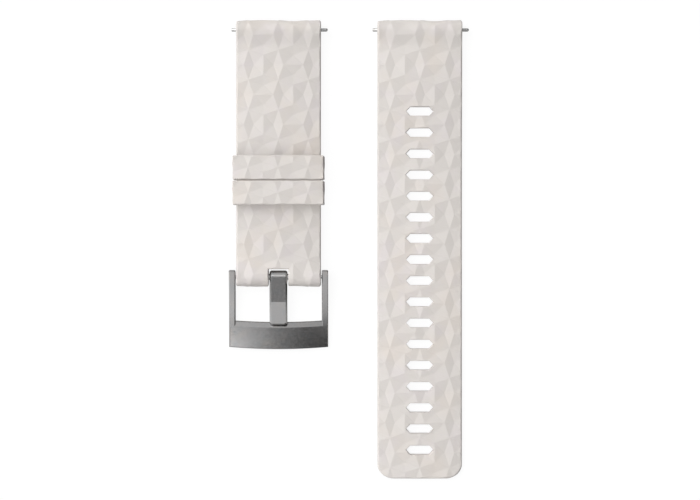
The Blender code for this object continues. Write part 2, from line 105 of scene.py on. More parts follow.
class Slot(Enum):
    """The record's material slots."""

    SILICONE = "silicone"
    BUCKLE = "buckle_steel"
    BAR = "bar_steel"
    SPRING = "spring_steel"


# Small sums


def smooth_step(share: float) -> float:
    """Eases a share from 0 to 1, and holds it there outside that range."""
    held = min(max(share, 0.0), 1.0)
    return held * held * (3 - 2 * held)


def mix(first: float, second: float, share: float) -> float:
    """Goes from the first value to the second as share goes from 0 to 1."""
    return first + (second - first) * share


def spread(start: float, end: float, steps: int) -> list[float]:
    """Evenly spaced values from start to end, both included."""
    return [mix(start, end, i / steps) for i in range(steps + 1)]


def quarter_arc_length(first: float, second: float) -> float:
    """About how long a quarter of an ellipse is, from its two half axes."""
    return QUARTER_TURN * math.sqrt((first**2 + second**2) / 2)


# Meshes


def shade(shape: bmesh.types.BMesh, sharp_angle: float) -> None:
    """Shades a mesh smooth, but for the edges already crisp and those that turn by more than an angle.

    Args:
        shape: The mesh.
        sharp_angle: The angle, in degrees.
    """
    for face in shape.faces:
        face.smooth = True
    for edge in shape.edges:
        if edge.calc_face_angle(0.0) > math.radians(sharp_angle):
            edge.smooth = False


def new_piece(name: str, shape: bmesh.types.BMesh, sharp_angle: float = SOFT_ANGLE) -> bpy.types.Object:
    """Makes an object from a closed bmesh, shaded smooth.

    Args:
        name: The piece's name.
        shape: The mesh, which is freed.
        sharp_angle: Edges that turn by more than this, in degrees, are crisp.

    Returns:
        The new object, in the scene.
    """
    bmesh.ops.remove_doubles(shape, verts=shape.verts, dist=TINY)
    bmesh.ops.recalc_face_normals(shape, faces=shape.faces)
    shade(shape, sharp_angle)
    mesh = bpy.data.meshes.new(name)
    shape.to_mesh(mesh)
    shape.free()
    piece = bpy.data.objects.new(name, mesh)
    bpy.context.scene.collection.objects.link(piece)
    return piece


def carve(piece: bpy.types.Object, cutter: bpy.types.Object) -> None:
    """Cuts the cutter from the piece for good, and removes the cutter.

    Args:
        piece: The object whose mesh is cut.
        cutter: A closed object.
    """
    step = piece.modifiers.new("cut", "BOOLEAN")
    step.operation = "DIFFERENCE"
    step.solver = "EXACT"
    step.object = cutter
    evaluated = piece.evaluated_get(bpy.context.evaluated_depsgraph_get())
    result = bpy.data.meshes.new_from_object(evaluated)
    piece.modifiers.remove(step)
    shape = bmesh.new()
    shape.from_mesh(result)
    shade(shape, CUT_ANGLE)
    shape.to_mesh(result)
    shape.free()
    worn_out = piece.data
    result.name = worn_out.name
    piece.data = result
    bpy.data.meshes.remove(worn_out)
    bpy.data.objects.remove(cutter)


def block(low: Sequence[float], high: Sequence[float]) -> bpy.types.Object:
    """A cutter between two corners.

    Args:
        low: The corner with the least X, Y and Z.
        high: The opposite corner.

    Returns:
        The cutter.
    """
    shape = bmesh.new()
    bmesh.ops.create_cube(shape, size=1.0)
    for vert in shape.verts:
        vert.co = Vector(mix(low[i], high[i], vert.co[i] + 0.5) for i in range(3))
    return new_piece("block_cutter", shape)


def rod(start: Sequence[float], end: Sequence[float], radius: float, sides: int = 48) -> bpy.types.Object:
    """A round cutter between two points.

    Args:
        start: The middle of one end.
        end: The middle of the other end.
        radius: The rod's radius.
        sides: How many flats its round has.

    Returns:
        The cutter.
    """
    shape = bmesh.new()
    run = Vector(end) - Vector(start)
    bmesh.ops.create_cone(
        shape, cap_ends=True, segments=sides, radius1=radius, radius2=radius, depth=run.length
    )
    turn = run.to_track_quat("Z", "Y").to_matrix().to_4x4()
    bmesh.ops.transform(shape, matrix=turn, verts=shape.verts)
    bmesh.ops.translate(shape, vec=(Vector(start) + Vector(end)) / 2, verts=shape.verts)
    return new_piece("rod_cutter", shape)


@dataclass(frozen=True)
class Rim:
    """A rounded edge: how far it reaches outwards, and how far it drops on each skin.

    With a level, the sheet's own level fades to it over the rim. With none, the sheet's level stays.
    """

    width: float
    upper_drop: float
    lower_drop: float
    level: float | None = None
    steps: int = 5
    form: Edge = Edge.ROUND

    def stations(self) -> list[Pair]:
        """The rim's section, as shares of its width and of its drop, from the skin outwards.

        Returns:
            The (width, drop) shares.
        """
        if self.form is Edge.ROUND:
            angles = spread(0, QUARTER_TURN, self.steps)[1:]
            return [(math.sin(angle), 1 - math.cos(angle)) for angle in angles]
        soft = 0.14  # share of a chamfer's width in which it eases in
        bend = 1.6 * soft
        return [(soft, soft / 2), (2 * soft, bend), (1 - soft, 1 - bend), (1.0, 1.0)]


class FlatSheet:
    """A flat sheet that is cut to size before SheetBody gives it its form."""

    def __init__(self) -> None:
        """Starts an empty sheet, whose faces remember the facet they belong to."""
        self.mesh = bmesh.new()
        self.facet = self.mesh.faces.layers.int.new("facet")
        self._verts: dict[tuple, bmesh.types.BMVert] = {}
        self._count = 0

    def add_facet(self, corners: Iterable[tuple[tuple, Sequence[float]]], facet: int | None = None) -> None:
        """Adds one face, which shares the corners that carry the same key.

        Args:
            corners: A key and a place (across, along, level) for each corner, in order.
            facet: The facet that the face belongs to. With none, it is a facet of its own.
        """
        verts = []
        for key, place in corners:
            if key not in self._verts:
                self._verts[key] = self.mesh.verts.new(place)
            verts.append(self._verts[key])
        self._count += 1
        self.mesh.faces.new(verts)[self.facet] = self._count if facet is None else facet

    def _bisect(self, faces: list, at: Pair, outward: Pair) -> list:
        """Cuts faces along a line, and returns all the faces that they become.

        Args:
            faces: The faces to cut.
            at: A place on the line.
            outward: The direction square to it.

        Returns:
            The faces on both sides.
        """
        parts = set(faces)
        for face in faces:
            parts.update(face.edges)
            parts.update(face.verts)
        done = bmesh.ops.bisect_plane(
            self.mesh, geom=list(parts), dist=TINY, plane_co=(*at, 0), plane_no=(*outward, 0)
        )
        return [part for part in done["geom"] if isinstance(part, bmesh.types.BMFace)]

    @staticmethod
    def _inside(faces: list, at: Pair, outward: Pair) -> list:
        """The faces that lie on the inner side of a line.

        Args:
            faces: The faces to choose from.
            at: A place on the line.
            outward: The direction square to it, away from them.

        Returns:
            The faces whose middle is on that side.
        """
        line = Vector((*outward, 0))
        start = Vector((*at, 0))
        return [face for face in faces if (face.calc_center_median() - start).dot(line) < 0]

    def score(self, at: Pair, outward: Pair) -> None:
        """Adds a row of vertices along a line, and removes nothing."""
        self._bisect(list(self.mesh.faces), at, outward)

    def trim(self, at: Pair, outward: Pair) -> None:
        """Removes what lies beyond a line, on its outward side.

        Args:
            at: A place on the line.
            outward: The direction of what goes.
        """
        faces = self._bisect(list(self.mesh.faces), at, outward)
        kept = set(self._inside(faces, at, outward))
        gone = [face for face in faces if face not in kept]
        bmesh.ops.delete(self.mesh, geom=gone, context="FACES")

    def trim_corner(self, centre: Pair, across: float, along: float, steps: int = 9) -> None:
        """Rounds off one corner with cuts that touch an ellipse.

        Args:
            centre: The ellipse's middle.
            across: Its half axis across the sheet, negative for a corner on the left.
            along: Its half axis along the sheet, negative for a corner at the near end.
            steps: How many cuts make the round.
        """
        for i in range(steps):
            angle = QUARTER_TURN * (i + 0.5) / steps
            at = (centre[0] + across * math.cos(angle), centre[1] + along * math.sin(angle))
            self.trim(at, (math.cos(angle) / across, math.sin(angle) / along))

    def punch(self, outline: Sequence[Pair]) -> None:
        """Cuts a hole with a convex outline, given anticlockwise.

        Args:
            outline: Its corners, in order.
        """
        lows = [min(point[i] for point in outline) for i in range(2)]
        highs = [max(point[i] for point in outline) for i in range(2)]
        inside = []
        for face in self.mesh.faces:
            if all(
                min(vert.co[i] for vert in face.verts) <= highs[i]
                and max(vert.co[i] for vert in face.verts) >= lows[i]
                for i in range(2)
            ):
                inside.append(face)
        for start, end in zip(outline, list(outline[1:]) + [outline[0]]):
            outward = (end[1] - start[1], start[0] - end[0])
            inside = self._inside(self._bisect(inside, start, outward), start, outward)
        bmesh.ops.delete(self.mesh, geom=inside, context="FACES")


Placer = Callable[[float, float, float, Skin, float], Vector]


@dataclass
class SheetBody:
    """Closes a sheet into a body: two skins over the same outline, and a rounded rim between them.

    place(across, along, level, skin, drop) gives a point of a skin, sunk by drop below its surface.
    joined says whether a stretch of the outline, from its middle, has no rim because skins meet there.
    rim_at gives the rim at a place on the outline.
    """

    sheet: FlatSheet
    place: Placer
    rim_at: Callable[[float, float], Rim]
    joined: Callable[[float, float], bool] = lambda across, along: False
    crisp_rim: bool = False

    def build(self, name: str, sharp_angle: float = SOFT_ANGLE) -> bpy.types.Object:
        """Builds the piece.

        Args:
            name: The piece's name.
            sharp_angle: Edges that turn by more than this, in degrees, are crisp.

        Returns:
            The new object, with a vertex attribute "rim" that is 1 on the outermost edge.
        """
        flat = self.sheet.mesh
        bmesh.ops.triangulate(flat, faces=flat.faces)
        flat.verts.index_update()
        body = bmesh.new()
        self._rim_mark = body.verts.layers.float.new("rim")
        skins = {
            skin: [body.verts.new(self.place(*vert.co, skin, 0.0)) for vert in flat.verts] for skin in Skin
        }
        for face in flat.faces:
            corners = [vert.index for vert in face.verts]
            body.faces.new([skins[Skin.UPPER][i] for i in corners])
            body.faces.new([skins[Skin.LOWER][i] for i in reversed(corners)])
        self._mark_facets(body, flat, skins[Skin.UPPER])
        self._close_rim(body, flat, skins)
        flat.free()
        return new_piece(name, body, sharp_angle)

    def _mark_facets(self, body: bmesh.types.BMesh, flat: bmesh.types.BMesh, upper: list) -> None:
        """Makes the edges between facets crisp.

        Args:
            body: The body being made.
            flat: The sheet.
            upper: The upper skin's vertices, in the sheet's order.
        """
        for edge in flat.edges:
            facets = {face[self.sheet.facet] for face in edge.link_faces}
            rim_edge = len(edge.link_faces) == 1 and self.crisp_rim
            if len(facets) > 1 or rim_edge:
                found = body.edges.get([upper[vert.index] for vert in edge.verts])
                found.smooth = False

    def _close_rim(self, body: bmesh.types.BMesh, flat: bmesh.types.BMesh, skins: dict) -> None:
        """Runs rings of faces from the upper skin's outline over the edge to the lower one's.

        Args:
            body: The body being made.
            flat: The sheet.
            skins: Each skin's vertices, in the sheet's order.
        """
        outline = []
        outwards: dict[int, list[Vector]] = {}
        for edge in flat.edges:
            if len(edge.link_faces) != 1:
                continue
            first, second = (vert.co.xy for vert in edge.verts)
            middle = (first + second) / 2
            if self.joined(*middle):
                continue
            run = (second - first).normalized()
            outward = Vector((run.y, -run.x))
            if (edge.link_faces[0].calc_center_median().xy - middle).dot(outward) > 0:
                outward = -outward
            outline.append([vert.index for vert in edge.verts])
            for vert in edge.verts:
                outwards.setdefault(vert.index, []).append(outward)
        flat.verts.ensure_lookup_table()
        rings = {}
        for i, normals in outwards.items():
            total = sum(normals, Vector((0, 0)))
            mitre = total / (1 + normals[0].dot(normals[-1])) if len(normals) > 1 else total
            rings[i] = self._ring(body, flat.verts[i].co, mitre, skins[Skin.UPPER][i], skins[Skin.LOWER][i])
        for first, second in outline:
            for k in range(len(rings[first]) - 1):
                body.faces.new(
                    (rings[first][k], rings[first][k + 1], rings[second][k + 1], rings[second][k])
                )

    def _ring(
        self,
        body: bmesh.types.BMesh,
        at: Vector,
        outward: Vector,
        upper: bmesh.types.BMVert,
        lower: bmesh.types.BMVert,
    ) -> list:
        """One row of vertices over the rim, from the upper skin to the lower one.

        Args:
            body: The body being made.
            at: The sheet's vertex.
            outward: Where the rim goes from it.
            upper: The upper skin's vertex.
            lower: The lower skin's vertex.

        Returns:
            The row, with both skins' vertices.
        """
        rim = self.rim_at(at.x, at.y)
        rim_level = at.z if rim.level is None else rim.level
        halves = {Skin.UPPER: [upper], Skin.LOWER: [lower]}
        drops = {Skin.UPPER: rim.upper_drop, Skin.LOWER: rim.lower_drop}
        for skin, row in halves.items():
            for out, down in rim.stations():
                reach = rim.width * out
                level = mix(at.z, rim_level, smooth_step(LEVEL_FADE * out))
                place = (at.x + outward.x * reach, at.y + outward.y * reach)
                vert = body.verts.new(self.place(*place, level, skin, drops[skin] * down))
                vert[self._rim_mark] = out
                row.append(vert)
        return halves[Skin.UPPER] + halves[Skin.LOWER][::-1]


@dataclass(frozen=True)
class Turning:
    """A turned piece: (along, radius) pairs round a line that runs along X or Z."""

    profile: tuple[Pair, ...]
    ring: bool = False
    soften: float = 0.06 * MM
    most_cut: float = 0.4  # share of a side that a softened corner may take
    sides: int = 48

    def _softened(self) -> list[Pair]:
        """The profile with each corner that is off the axis rounded.

        Returns:
            The (along, radius) pairs.
        """
        points = [Vector(point) for point in self.profile]
        count = len(points)
        result: list[Vector] = []
        for i, point in enumerate(points):
            at_end = not self.ring and i in (0, count - 1)
            if at_end or point.y < TINY:
                result.append(point)
                continue
            before = points[i - 1] - point
            after = points[(i + 1) % count] - point
            cut = min(self.soften, self.most_cut * before.length, self.most_cut * after.length)
            start = point + before.normalized() * cut
            end = point + after.normalized() * cut
            for share in spread(0, 1, 3):
                result.append(start.lerp(point, share).lerp(point.lerp(end, share), share))
        return [(point.x, max(point.y, 0.0)) for point in result]

    def build(self, name: str, place: Vector, facing: int = 1, axis: str = "X") -> bpy.types.Object:
        """Turns the profile.

        Args:
            name: The piece's name.
            place: Where the profile's zero sits.
            facing: 1 if along runs towards +X, or -1 towards -X.
            axis: The letter of the axis that it turns round.

        Returns:
            The new object.
        """
        profile = self._softened()
        shape = bmesh.new()
        rows = []
        for i in range(self.sides):
            angle = 2 * math.pi * i / self.sides
            row = []
            for along, radius in profile:
                first, second = radius * math.cos(angle), radius * math.sin(angle)
                spot = (along * facing, first, second) if axis == "X" else (first, second, along)
                row.append(shape.verts.new(place + Vector(spot)))
            rows.append(row)
        last = len(profile) if self.ring else len(profile) - 1
        for i, row in enumerate(rows):
            beside = rows[(i + 1) % self.sides]
            for j in range(last):
                k = (j + 1) % len(profile)
                shape.faces.new((row[j], row[k], beside[k], beside[j]))
        return new_piece(name, shape)


# Finishes


Value = float | bpy.types.NodeSocket
Colour = tuple[float, float, float, float] | bpy.types.NodeSocket


class Nodes:
    """A small helper that adds and links the nodes of one tree."""

    def __init__(self, tree: bpy.types.NodeTree) -> None:
        """Takes the tree to work in."""
        self.tree = tree

    def add(self, kind: str, inputs: dict | None = None, **settings) -> bpy.types.Node:
        """Adds one node.

        Args:
            kind: The node's type, without its "ShaderNode" start.
            inputs: For each input name, a value or another node's output.
            **settings: Attributes to set on the node before its inputs.

        Returns:
            The new node.
        """
        known = kind if kind.startswith("NodeGroup") else "ShaderNode" + kind
        node = self.tree.nodes.new(known)
        for key, value in settings.items():
            setattr(node, key, value)
        for key, value in (inputs or {}).items():
            if isinstance(value, bpy.types.NodeSocket):
                self.tree.links.new(value, node.inputs[key])
            else:
                node.inputs[key].default_value = value
        return node

    def maths(self, operation: str, first: Value, second: Value) -> bpy.types.NodeSocket:
        """One sum of two values or outputs."""
        return self.add("Math", {0: first, 1: second}, operation=operation).outputs[0]

    def noise(
        self, place: bpy.types.NodeSocket, scale: Value, detail: float, roughness: float = 0.5
    ) -> bpy.types.NodeSocket:
        """A cloudy value from 0 to 1 over the place.

        Args:
            place: The output to read it at.
            scale: Clouds in each metre.
            detail: Layers of finer clouds.
            roughness: How much the finer layers count.

        Returns:
            The value's output.
        """
        inputs = {"Vector": place, "Scale": scale, "Detail": detail, "Roughness": roughness}
        return self.add("TexNoise", inputs).outputs["Fac"]

    def blend(self, share: Value, first: Colour, second: Colour) -> bpy.types.NodeSocket:
        """Goes from the first colour to the second as share goes from 0 to 1."""
        return self.add("Mix", {0: share, 6: first, 7: second}, data_type="RGBA").outputs[2]

    def ramp(
        self, value: Value, span: Pair, result: Pair = (0.0, 1.0), form: str = "LINEAR"
    ) -> bpy.types.NodeSocket:
        """Goes over the result's range as the value goes over its span.

        Args:
            value: The output to follow.
            span: Where it starts and ends.
            result: What it becomes there.
            form: How it goes between them.

        Returns:
            The result's output.
        """
        inputs = dict(enumerate((value, *span, *result)))
        return self.add("MapRange", inputs, interpolation_type=form).outputs[0]

    def effect(self, group: bpy.types.NodeTree, inputs: dict) -> bpy.types.Node:
        """Places a shared effect, with its own values.

        Args:
            group: The effect.
            inputs: Its values by name.

        Returns:
            The new node.
        """
        node = self.tree.nodes.new("ShaderNodeGroup")
        node.node_tree = group
        for key, value in inputs.items():
            node.inputs[key].default_value = value
        return node


def node_group(name: str, inputs: dict[str, float | tuple], outputs: dict[str, str]) -> tuple:
    """Starts a shader node group with named sockets.

    Args:
        name: The group's name.
        inputs: Each input's name and default, a number or a colour.
        outputs: Each output's name and socket type.

    Returns:
        The group, its helper, its inputs node and its outputs node.
    """
    group = bpy.data.node_groups.new(name, "ShaderNodeTree")
    for key, value in inputs.items():
        kind = "NodeSocketColor" if isinstance(value, tuple) else "NodeSocketFloat"
        group.interface.new_socket(name=key, in_out="INPUT", socket_type=kind).default_value = value
    for key, kind in outputs.items():
        group.interface.new_socket(name=key, in_out="OUTPUT", socket_type=kind)
    nodes = Nodes(group)
    return group, nodes, nodes.add("NodeGroupInput"), nodes.add("NodeGroupOutput")


class Effects:
    """The node groups that several finishes share."""

    def __init__(self) -> None:
        """Builds each group once."""
        self.grain = self._grain()
        self.drift = self._drift()
        self.edge = self._edge()

    @staticmethod
    def _grain() -> bpy.types.NodeTree:
        """Fine pits and bumps in two sizes, with a stretch along X for drawn or turned marks.

        Returns:
            The group.
        """
        group, nodes, given, result = node_group(
            "surface_grain",
            {"Scale": 5000.0, "Stretch": 1.0, "Coarse Scale": 0.22, "Coarse Share": 0.35},
            {"Height": "NodeSocketFloat", "Mask": "NodeSocketFloat"},
        )
        place = nodes.add("TexCoord").outputs["Object"]
        apart = nodes.add("SeparateXYZ", {0: place})
        along = nodes.maths("MULTIPLY", apart.outputs["X"], given.outputs["Stretch"])
        stretched = nodes.add("CombineXYZ", {"X": along, "Y": apart.outputs["Y"], "Z": apart.outputs["Z"]})
        fine = nodes.noise(stretched.outputs[0], given.outputs["Scale"], detail=3.0)
        wide = nodes.maths("MULTIPLY", given.outputs["Scale"], given.outputs["Coarse Scale"])
        coarse = nodes.noise(stretched.outputs[0], wide, detail=2.0)
        both = nodes.add("Mix", {0: given.outputs["Coarse Share"], 2: fine, 3: coarse})
        nodes.tree.links.new(both.outputs[0], result.inputs["Height"])
        nodes.tree.links.new(coarse, result.inputs["Mask"])
        return group

    @staticmethod
    def _drift() -> bpy.types.NodeTree:
        """Slow drifts of a colour towards a cool and a warm neighbour.

        Returns:
            The group.
        """
        group, nodes, given, result = node_group(
            "colour_drift",
            {
                "Colour": (0.5, 0.5, 0.5, 1.0),
                "Warm": (0.5, 0.5, 0.5, 1.0),
                "Cool": (0.5, 0.5, 0.5, 1.0),
                "Scale": 120.0,
                "Amount": 1.0,
            },
            {"Colour": "NodeSocketColor"},
        )
        place = nodes.add("TexCoord").outputs["Object"]
        colour = given.outputs["Colour"]
        cloud_edges = (0.48, 0.72)
        for name, roughness, shift in (("Warm", 0.45, 1.0), ("Cool", 0.6, 1.7)):
            scale = nodes.maths("MULTIPLY", given.outputs["Scale"], shift)
            share = nodes.ramp(nodes.noise(place, scale, 2.0, roughness), cloud_edges)
            amount = nodes.maths("MULTIPLY", share, given.outputs["Amount"])
            colour = nodes.blend(amount, colour, given.outputs[name])
        nodes.tree.links.new(colour, result.inputs["Colour"])
        return group

    @staticmethod
    def _edge() -> bpy.types.NodeTree:
        """A mask of the rounded rims, broken up into patches, where wear polishes them and where a sheen is
        painted on.

        Returns:
            The group.
        """
        group, nodes, given, result = node_group(
            "rim_mask", {"Scale": 900.0, "Break Up": 0.4}, {"Mask": "NodeSocketFloat"}
        )
        mark = nodes.add("Attribute", attribute_name="rim").outputs["Fac"]
        place = nodes.add("TexCoord").outputs["Object"]
        patches = nodes.noise(place, given.outputs["Scale"], detail=3.0)
        less = nodes.maths("MULTIPLY", patches, given.outputs["Break Up"])
        mask = nodes.maths("SUBTRACT", mark, less)
        held = nodes.add("Clamp", {0: mask})
        nodes.tree.links.new(held.outputs[0], result.inputs["Mask"])
        return group


@dataclass(frozen=True)
class Finish:
    """What a surface is made of. Its colour drifts towards a warm and a cool neighbour.

    On the rims it is smoother by rim_roughness, as wear polishes them, and lighter by rim_painted_sheen, a
    painted sheen.
    """

    name: str
    slot: Slot
    colour: tuple[float, float, float]
    warm: tuple[float, float, float]
    cool: tuple[float, float, float]
    roughness: float
    roughness_swing: float
    metallic: float
    grain_size: float
    grain_depth: float
    stretch: float = 1.0
    drift_size: float = 9 * MM
    rim_roughness: float = 0.0
    # How far the rims' colour is painted towards white, as a sheen.
    rim_painted_sheen: float = 0.0
    specular: float = 0.5

    def material(self, effects: Effects) -> bpy.types.Material:
        """Builds the material from the shared effects.

        Args:
            effects: The node groups.

        Returns:
            The new material.
        """
        made = bpy.data.materials.new(self.name)
        made.use_nodes = True
        nodes = Nodes(made.node_tree)
        shader = made.node_tree.nodes["Principled BSDF"]
        grain = nodes.effect(effects.grain, {"Scale": 1 / self.grain_size, "Stretch": self.stretch})
        colours = {"Colour": self.colour, "Warm": self.warm, "Cool": self.cool}
        solid = {key: (*colour, 1.0) for key, colour in colours.items()}
        drift = nodes.effect(effects.drift, {**solid, "Scale": 1 / self.drift_size})
        edge = nodes.effect(effects.edge, {})
        # Painted sheen: the rims' colour is mixed towards white by rim_painted_sheen.
        painted_sheen = nodes.maths("MULTIPLY", edge.outputs["Mask"], self.rim_painted_sheen)
        colour_with_painted_sheen = nodes.blend(painted_sheen, drift.outputs["Colour"], (1.0, 1.0, 1.0, 1.0))
        least, most = self.roughness - self.roughness_swing, self.roughness + self.roughness_swing
        swing = nodes.ramp(grain.outputs["Mask"], (0.3, 0.7), (least, most))
        polish = nodes.maths("MULTIPLY", edge.outputs["Mask"], -self.rim_roughness)
        rough = nodes.maths("ADD", swing, polish)
        bump = nodes.add(
            "Bump", {"Height": grain.outputs["Height"], "Distance": self.grain_depth, "Strength": 1.0}
        )
        links = made.node_tree.links
        links.new(colour_with_painted_sheen, shader.inputs["Base Color"])
        links.new(rough, shader.inputs["Roughness"])
        links.new(bump.outputs[0], shader.inputs["Normal"])
        shader.inputs["Metallic"].default_value = self.metallic
        shader.inputs["Specular IOR Level"].default_value = self.specular
        return made


SILICONE = Finish(
    name="warm grey silicone",
    slot=Slot.SILICONE,
    colour=(0.567, 0.536, 0.510),
    warm=(0.582, 0.536, 0.497),
    cool=(0.571, 0.533, 0.524),
    roughness=0.52,
    roughness_swing=0.05,
    metallic=0.0,
    grain_size=0.16 * MM,
    grain_depth=0.004 * MM,
    drift_size=11 * MM,
    rim_roughness=0.10,
    rim_painted_sheen=0.05,
    specular=0.4,
)
BLASTED_STEEL = Finish(
    name="bead blasted steel",
    slot=Slot.BUCKLE,
    colour=(0.34, 0.335, 0.335),
    warm=(0.36, 0.345, 0.335),
    cool=(0.32, 0.325, 0.33),
    roughness=0.20,
    roughness_swing=0.03,
    metallic=1.0,
    grain_size=0.12 * MM,
    grain_depth=0.006 * MM,
    drift_size=4 * MM,
    rim_roughness=0.08,
    rim_painted_sheen=0.12,
)
TURNED_STEEL = Finish(
    name="turned bar steel",
    slot=Slot.BAR,
    colour=(0.56, 0.555, 0.55),
    warm=(0.60, 0.58, 0.55),
    cool=(0.52, 0.53, 0.54),
    roughness=0.27,
    roughness_swing=0.06,
    metallic=1.0,
    grain_size=0.6 * MM,
    grain_depth=0.004 * MM,
    stretch=18.0,
    drift_size=3 * MM,
)
SPRING_WIRE = Finish(
    name="drawn spring wire",
    slot=Slot.SPRING,
    colour=(0.46, 0.46, 0.465),
    warm=(0.50, 0.48, 0.45),
    cool=(0.42, 0.43, 0.45),
    roughness=0.30,
    roughness_swing=0.06,
    metallic=1.0,
    grain_size=0.08 * MM,
    grain_depth=0.002 * MM,
    drift_size=1 * MM,
)


class Dresser:
    """Gives each piece its finish, its body and the CAD nodes that it stands for.

    Its travel tells how far each sliding joint goes from rest, in metres.
    """

    def __init__(self, joints: Sequence[dict]) -> None:
        """Builds the effects. Materials are made when first asked for.

        Args:
            joints: The frame's joints.
        """
        sliding = [joint for joint in joints if "range_m" in joint]
        self.travel = {joint["name"]: max(abs(limit) for limit in joint["range_m"]) for joint in sliding}
        self.effects = Effects()
        self._made: dict[str, bpy.types.Material] = {}

    def dress(self, piece: bpy.types.Object, finish: Finish, body: str, *nodes: str) -> None:
        """Finishes one piece.

        Args:
            piece: The object.
            finish: Its finish.
            body: The CAD body that it rides on.
            *nodes: The CAD nodes that it replaces.
        """
        if finish.name not in self._made:
            self._made[finish.name] = finish.material(self.effects)
        piece.data.materials.clear()
        piece.data.materials.append(self._made[finish.name])
        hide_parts(*nodes)
        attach(piece, body)
        LOG.info("%s on %s: %d vertices, %s", piece.name, body, len(piece.data.vertices), finish.name)


# The moulded pattern


@dataclass(frozen=True)
class FacetPattern:
    """Low moulded facets on a square lattice of stars.

    Each cell has four inner corners. In a standing cell the two on its middle column are high and the
    two on its middle row are low; in a lying cell it is the other way round. The cells alternate.
    """

    pitch_across: float = 8.44 * MM
    pitch_along: float = 8.45 * MM
    inset: float = 0.165  # share of the pitch from a cell's side to its inner corner
    star_level: float = 0.88
    depth: float = 0.36 * MM

    def sheet(self, across: Pair, along: Pair, first_row: float) -> FlatSheet:
        """Covers a rectangle with the pattern.

        Args:
            across: The rectangle's left and right, with a column of stars at 0.
            along: Its low and high end.
            first_row: Where the row of stars that counts as the first lies.

        Returns:
            A sheet whose levels run from 0 in the pattern's hollows to 1 on its peaks.
        """
        sheet = FlatSheet()
        left = math.floor(across[0] / self.pitch_across) - 1
        right = math.ceil(across[1] / self.pitch_across) + 1
        first = math.floor((first_row - along[1]) / self.pitch_along) - 1
        last = math.ceil((first_row - along[0]) / self.pitch_along) + 1
        for column in range(left, right):
            for row in range(first, last):
                for facet in self._cell(column, row, first_row):
                    sheet.add_facet(facet)
        for place, side in zip(across, (-1, 1)):
            sheet.trim((place, 0), (side, 0))
        for place, side in zip(along, (-1, 1)):
            sheet.trim((0, place), (0, side))
        return sheet

    def _corner(self, kind: str, column: int, row: int, first_row: float) -> tuple:
        """One corner of a cell as a key and a place.

        Args:
            kind: Which corner.
            column: The cell's column.
            row: The cell's row.
            first_row: Where the first row of stars lies.

        Returns:
            The key and the place (across, along, level).
        """
        offsets = {
            "star": (0, 0),
            "left": (self.inset, 0.5),
            "right": (1 - self.inset, 0.5),
            "top": (0.5, self.inset),
            "bottom": (0.5, 1 - self.inset),
        }
        right, down = offsets[kind]
        standing = (column + row) % 2 == 1
        high = kind in ("top", "bottom") if standing else kind in ("left", "right")
        level = self.star_level if kind == "star" else float(high)
        place = ((column + right) * self.pitch_across, first_row - (row + down) * self.pitch_along, level)
        return (kind, column, row), place

    def _cell(self, column: int, row: int, first_row: float) -> list[list[tuple]]:
        """The facets inside a cell, and those across its left and its upper side.

        Args:
            column: The cell's column.
            row: The cell's row.
            first_row: Where the first row of stars lies.

        Returns:
            Each facet's corners.
        """

        def at(kind: str, right: int = 0, down: int = 0) -> tuple:
            """A corner of this cell or of one beside it."""
            return self._corner(kind, column + right, row + down, first_row)

        top_left, top_right = at("star"), at("star", 1, 0)
        low_left, low_right = at("star", 0, 1), at("star", 1, 1)
        left, right, top, bottom = at("left"), at("right"), at("top"), at("bottom")
        facets = [[top_left, left, top], [bottom, low_right, right]]
        if (column + row) % 2 == 1:
            facets += [[top, right, top_right], [top, bottom, right]]
            facets += [[left, bottom, top], [left, low_left, bottom]]
        else:
            facets += [[left, right, top], [top, right, top_right]]
            facets += [[left, bottom, right], [left, low_left, bottom]]
        beside, above = at("right", -1, 0), at("bottom", 0, -1)
        facets += [[top_left, beside, left], [low_left, left, beside]]
        facets += [[top_left, top, above], [top_right, above, top]]
        return facets


# Straps


@dataclass(frozen=True)
class Barrel:
    """The thick end of a strap, round the bar that runs through it."""

    axis: float
    outward: int
    reach: float = 2.8 * MM
    half_height: float = 2.4 * MM
    run: float = 5.0 * MM
    stations: int = 8

    @property
    def wrap(self) -> float:
        """Length of the round, from above the bar to the strap's end."""
        return quarter_arc_length(self.reach, self.half_height)

    @property
    def end(self) -> float:
        """The strap's end on the unrolled sheet."""
        return self.axis + self.outward * self.wrap

    def past(self, along: float) -> float:
        """How far a place on the sheet lies from the bar towards the strap, negative on the round."""
        return (self.axis - along) * self.outward

    def lines(self) -> list[float]:
        """Where the sheet needs vertices to follow the barrel.

        Returns:
            The places along the sheet.
        """
        round_end = spread(self.axis, self.end, self.stations)[:-1]
        thinning = spread(self.axis, self.axis - self.outward * self.run, self.stations)[1:]
        return round_end + thinning

    def on_round(self, along: float, side: int, middle: float) -> tuple[Vector, Vector]:
        """A point (y, z) of the round and its normal.

        Args:
            along: A place on the sheet, past the bar.
            side: 1 on top, or -1 below.
            middle: The bar's height.

        Returns:
            The point and its normal.
        """
        angle = min(-self.past(along) / self.wrap, 1.0) * QUARTER_TURN
        sine, cosine = math.sin(angle), math.cos(angle)
        along_y = self.axis + self.outward * self.reach * sine
        spot = Vector((along_y, middle + side * self.half_height * cosine))
        normal = Vector((self.outward * sine / self.reach, side * cosine / self.half_height))
        return spot, normal.normalized()


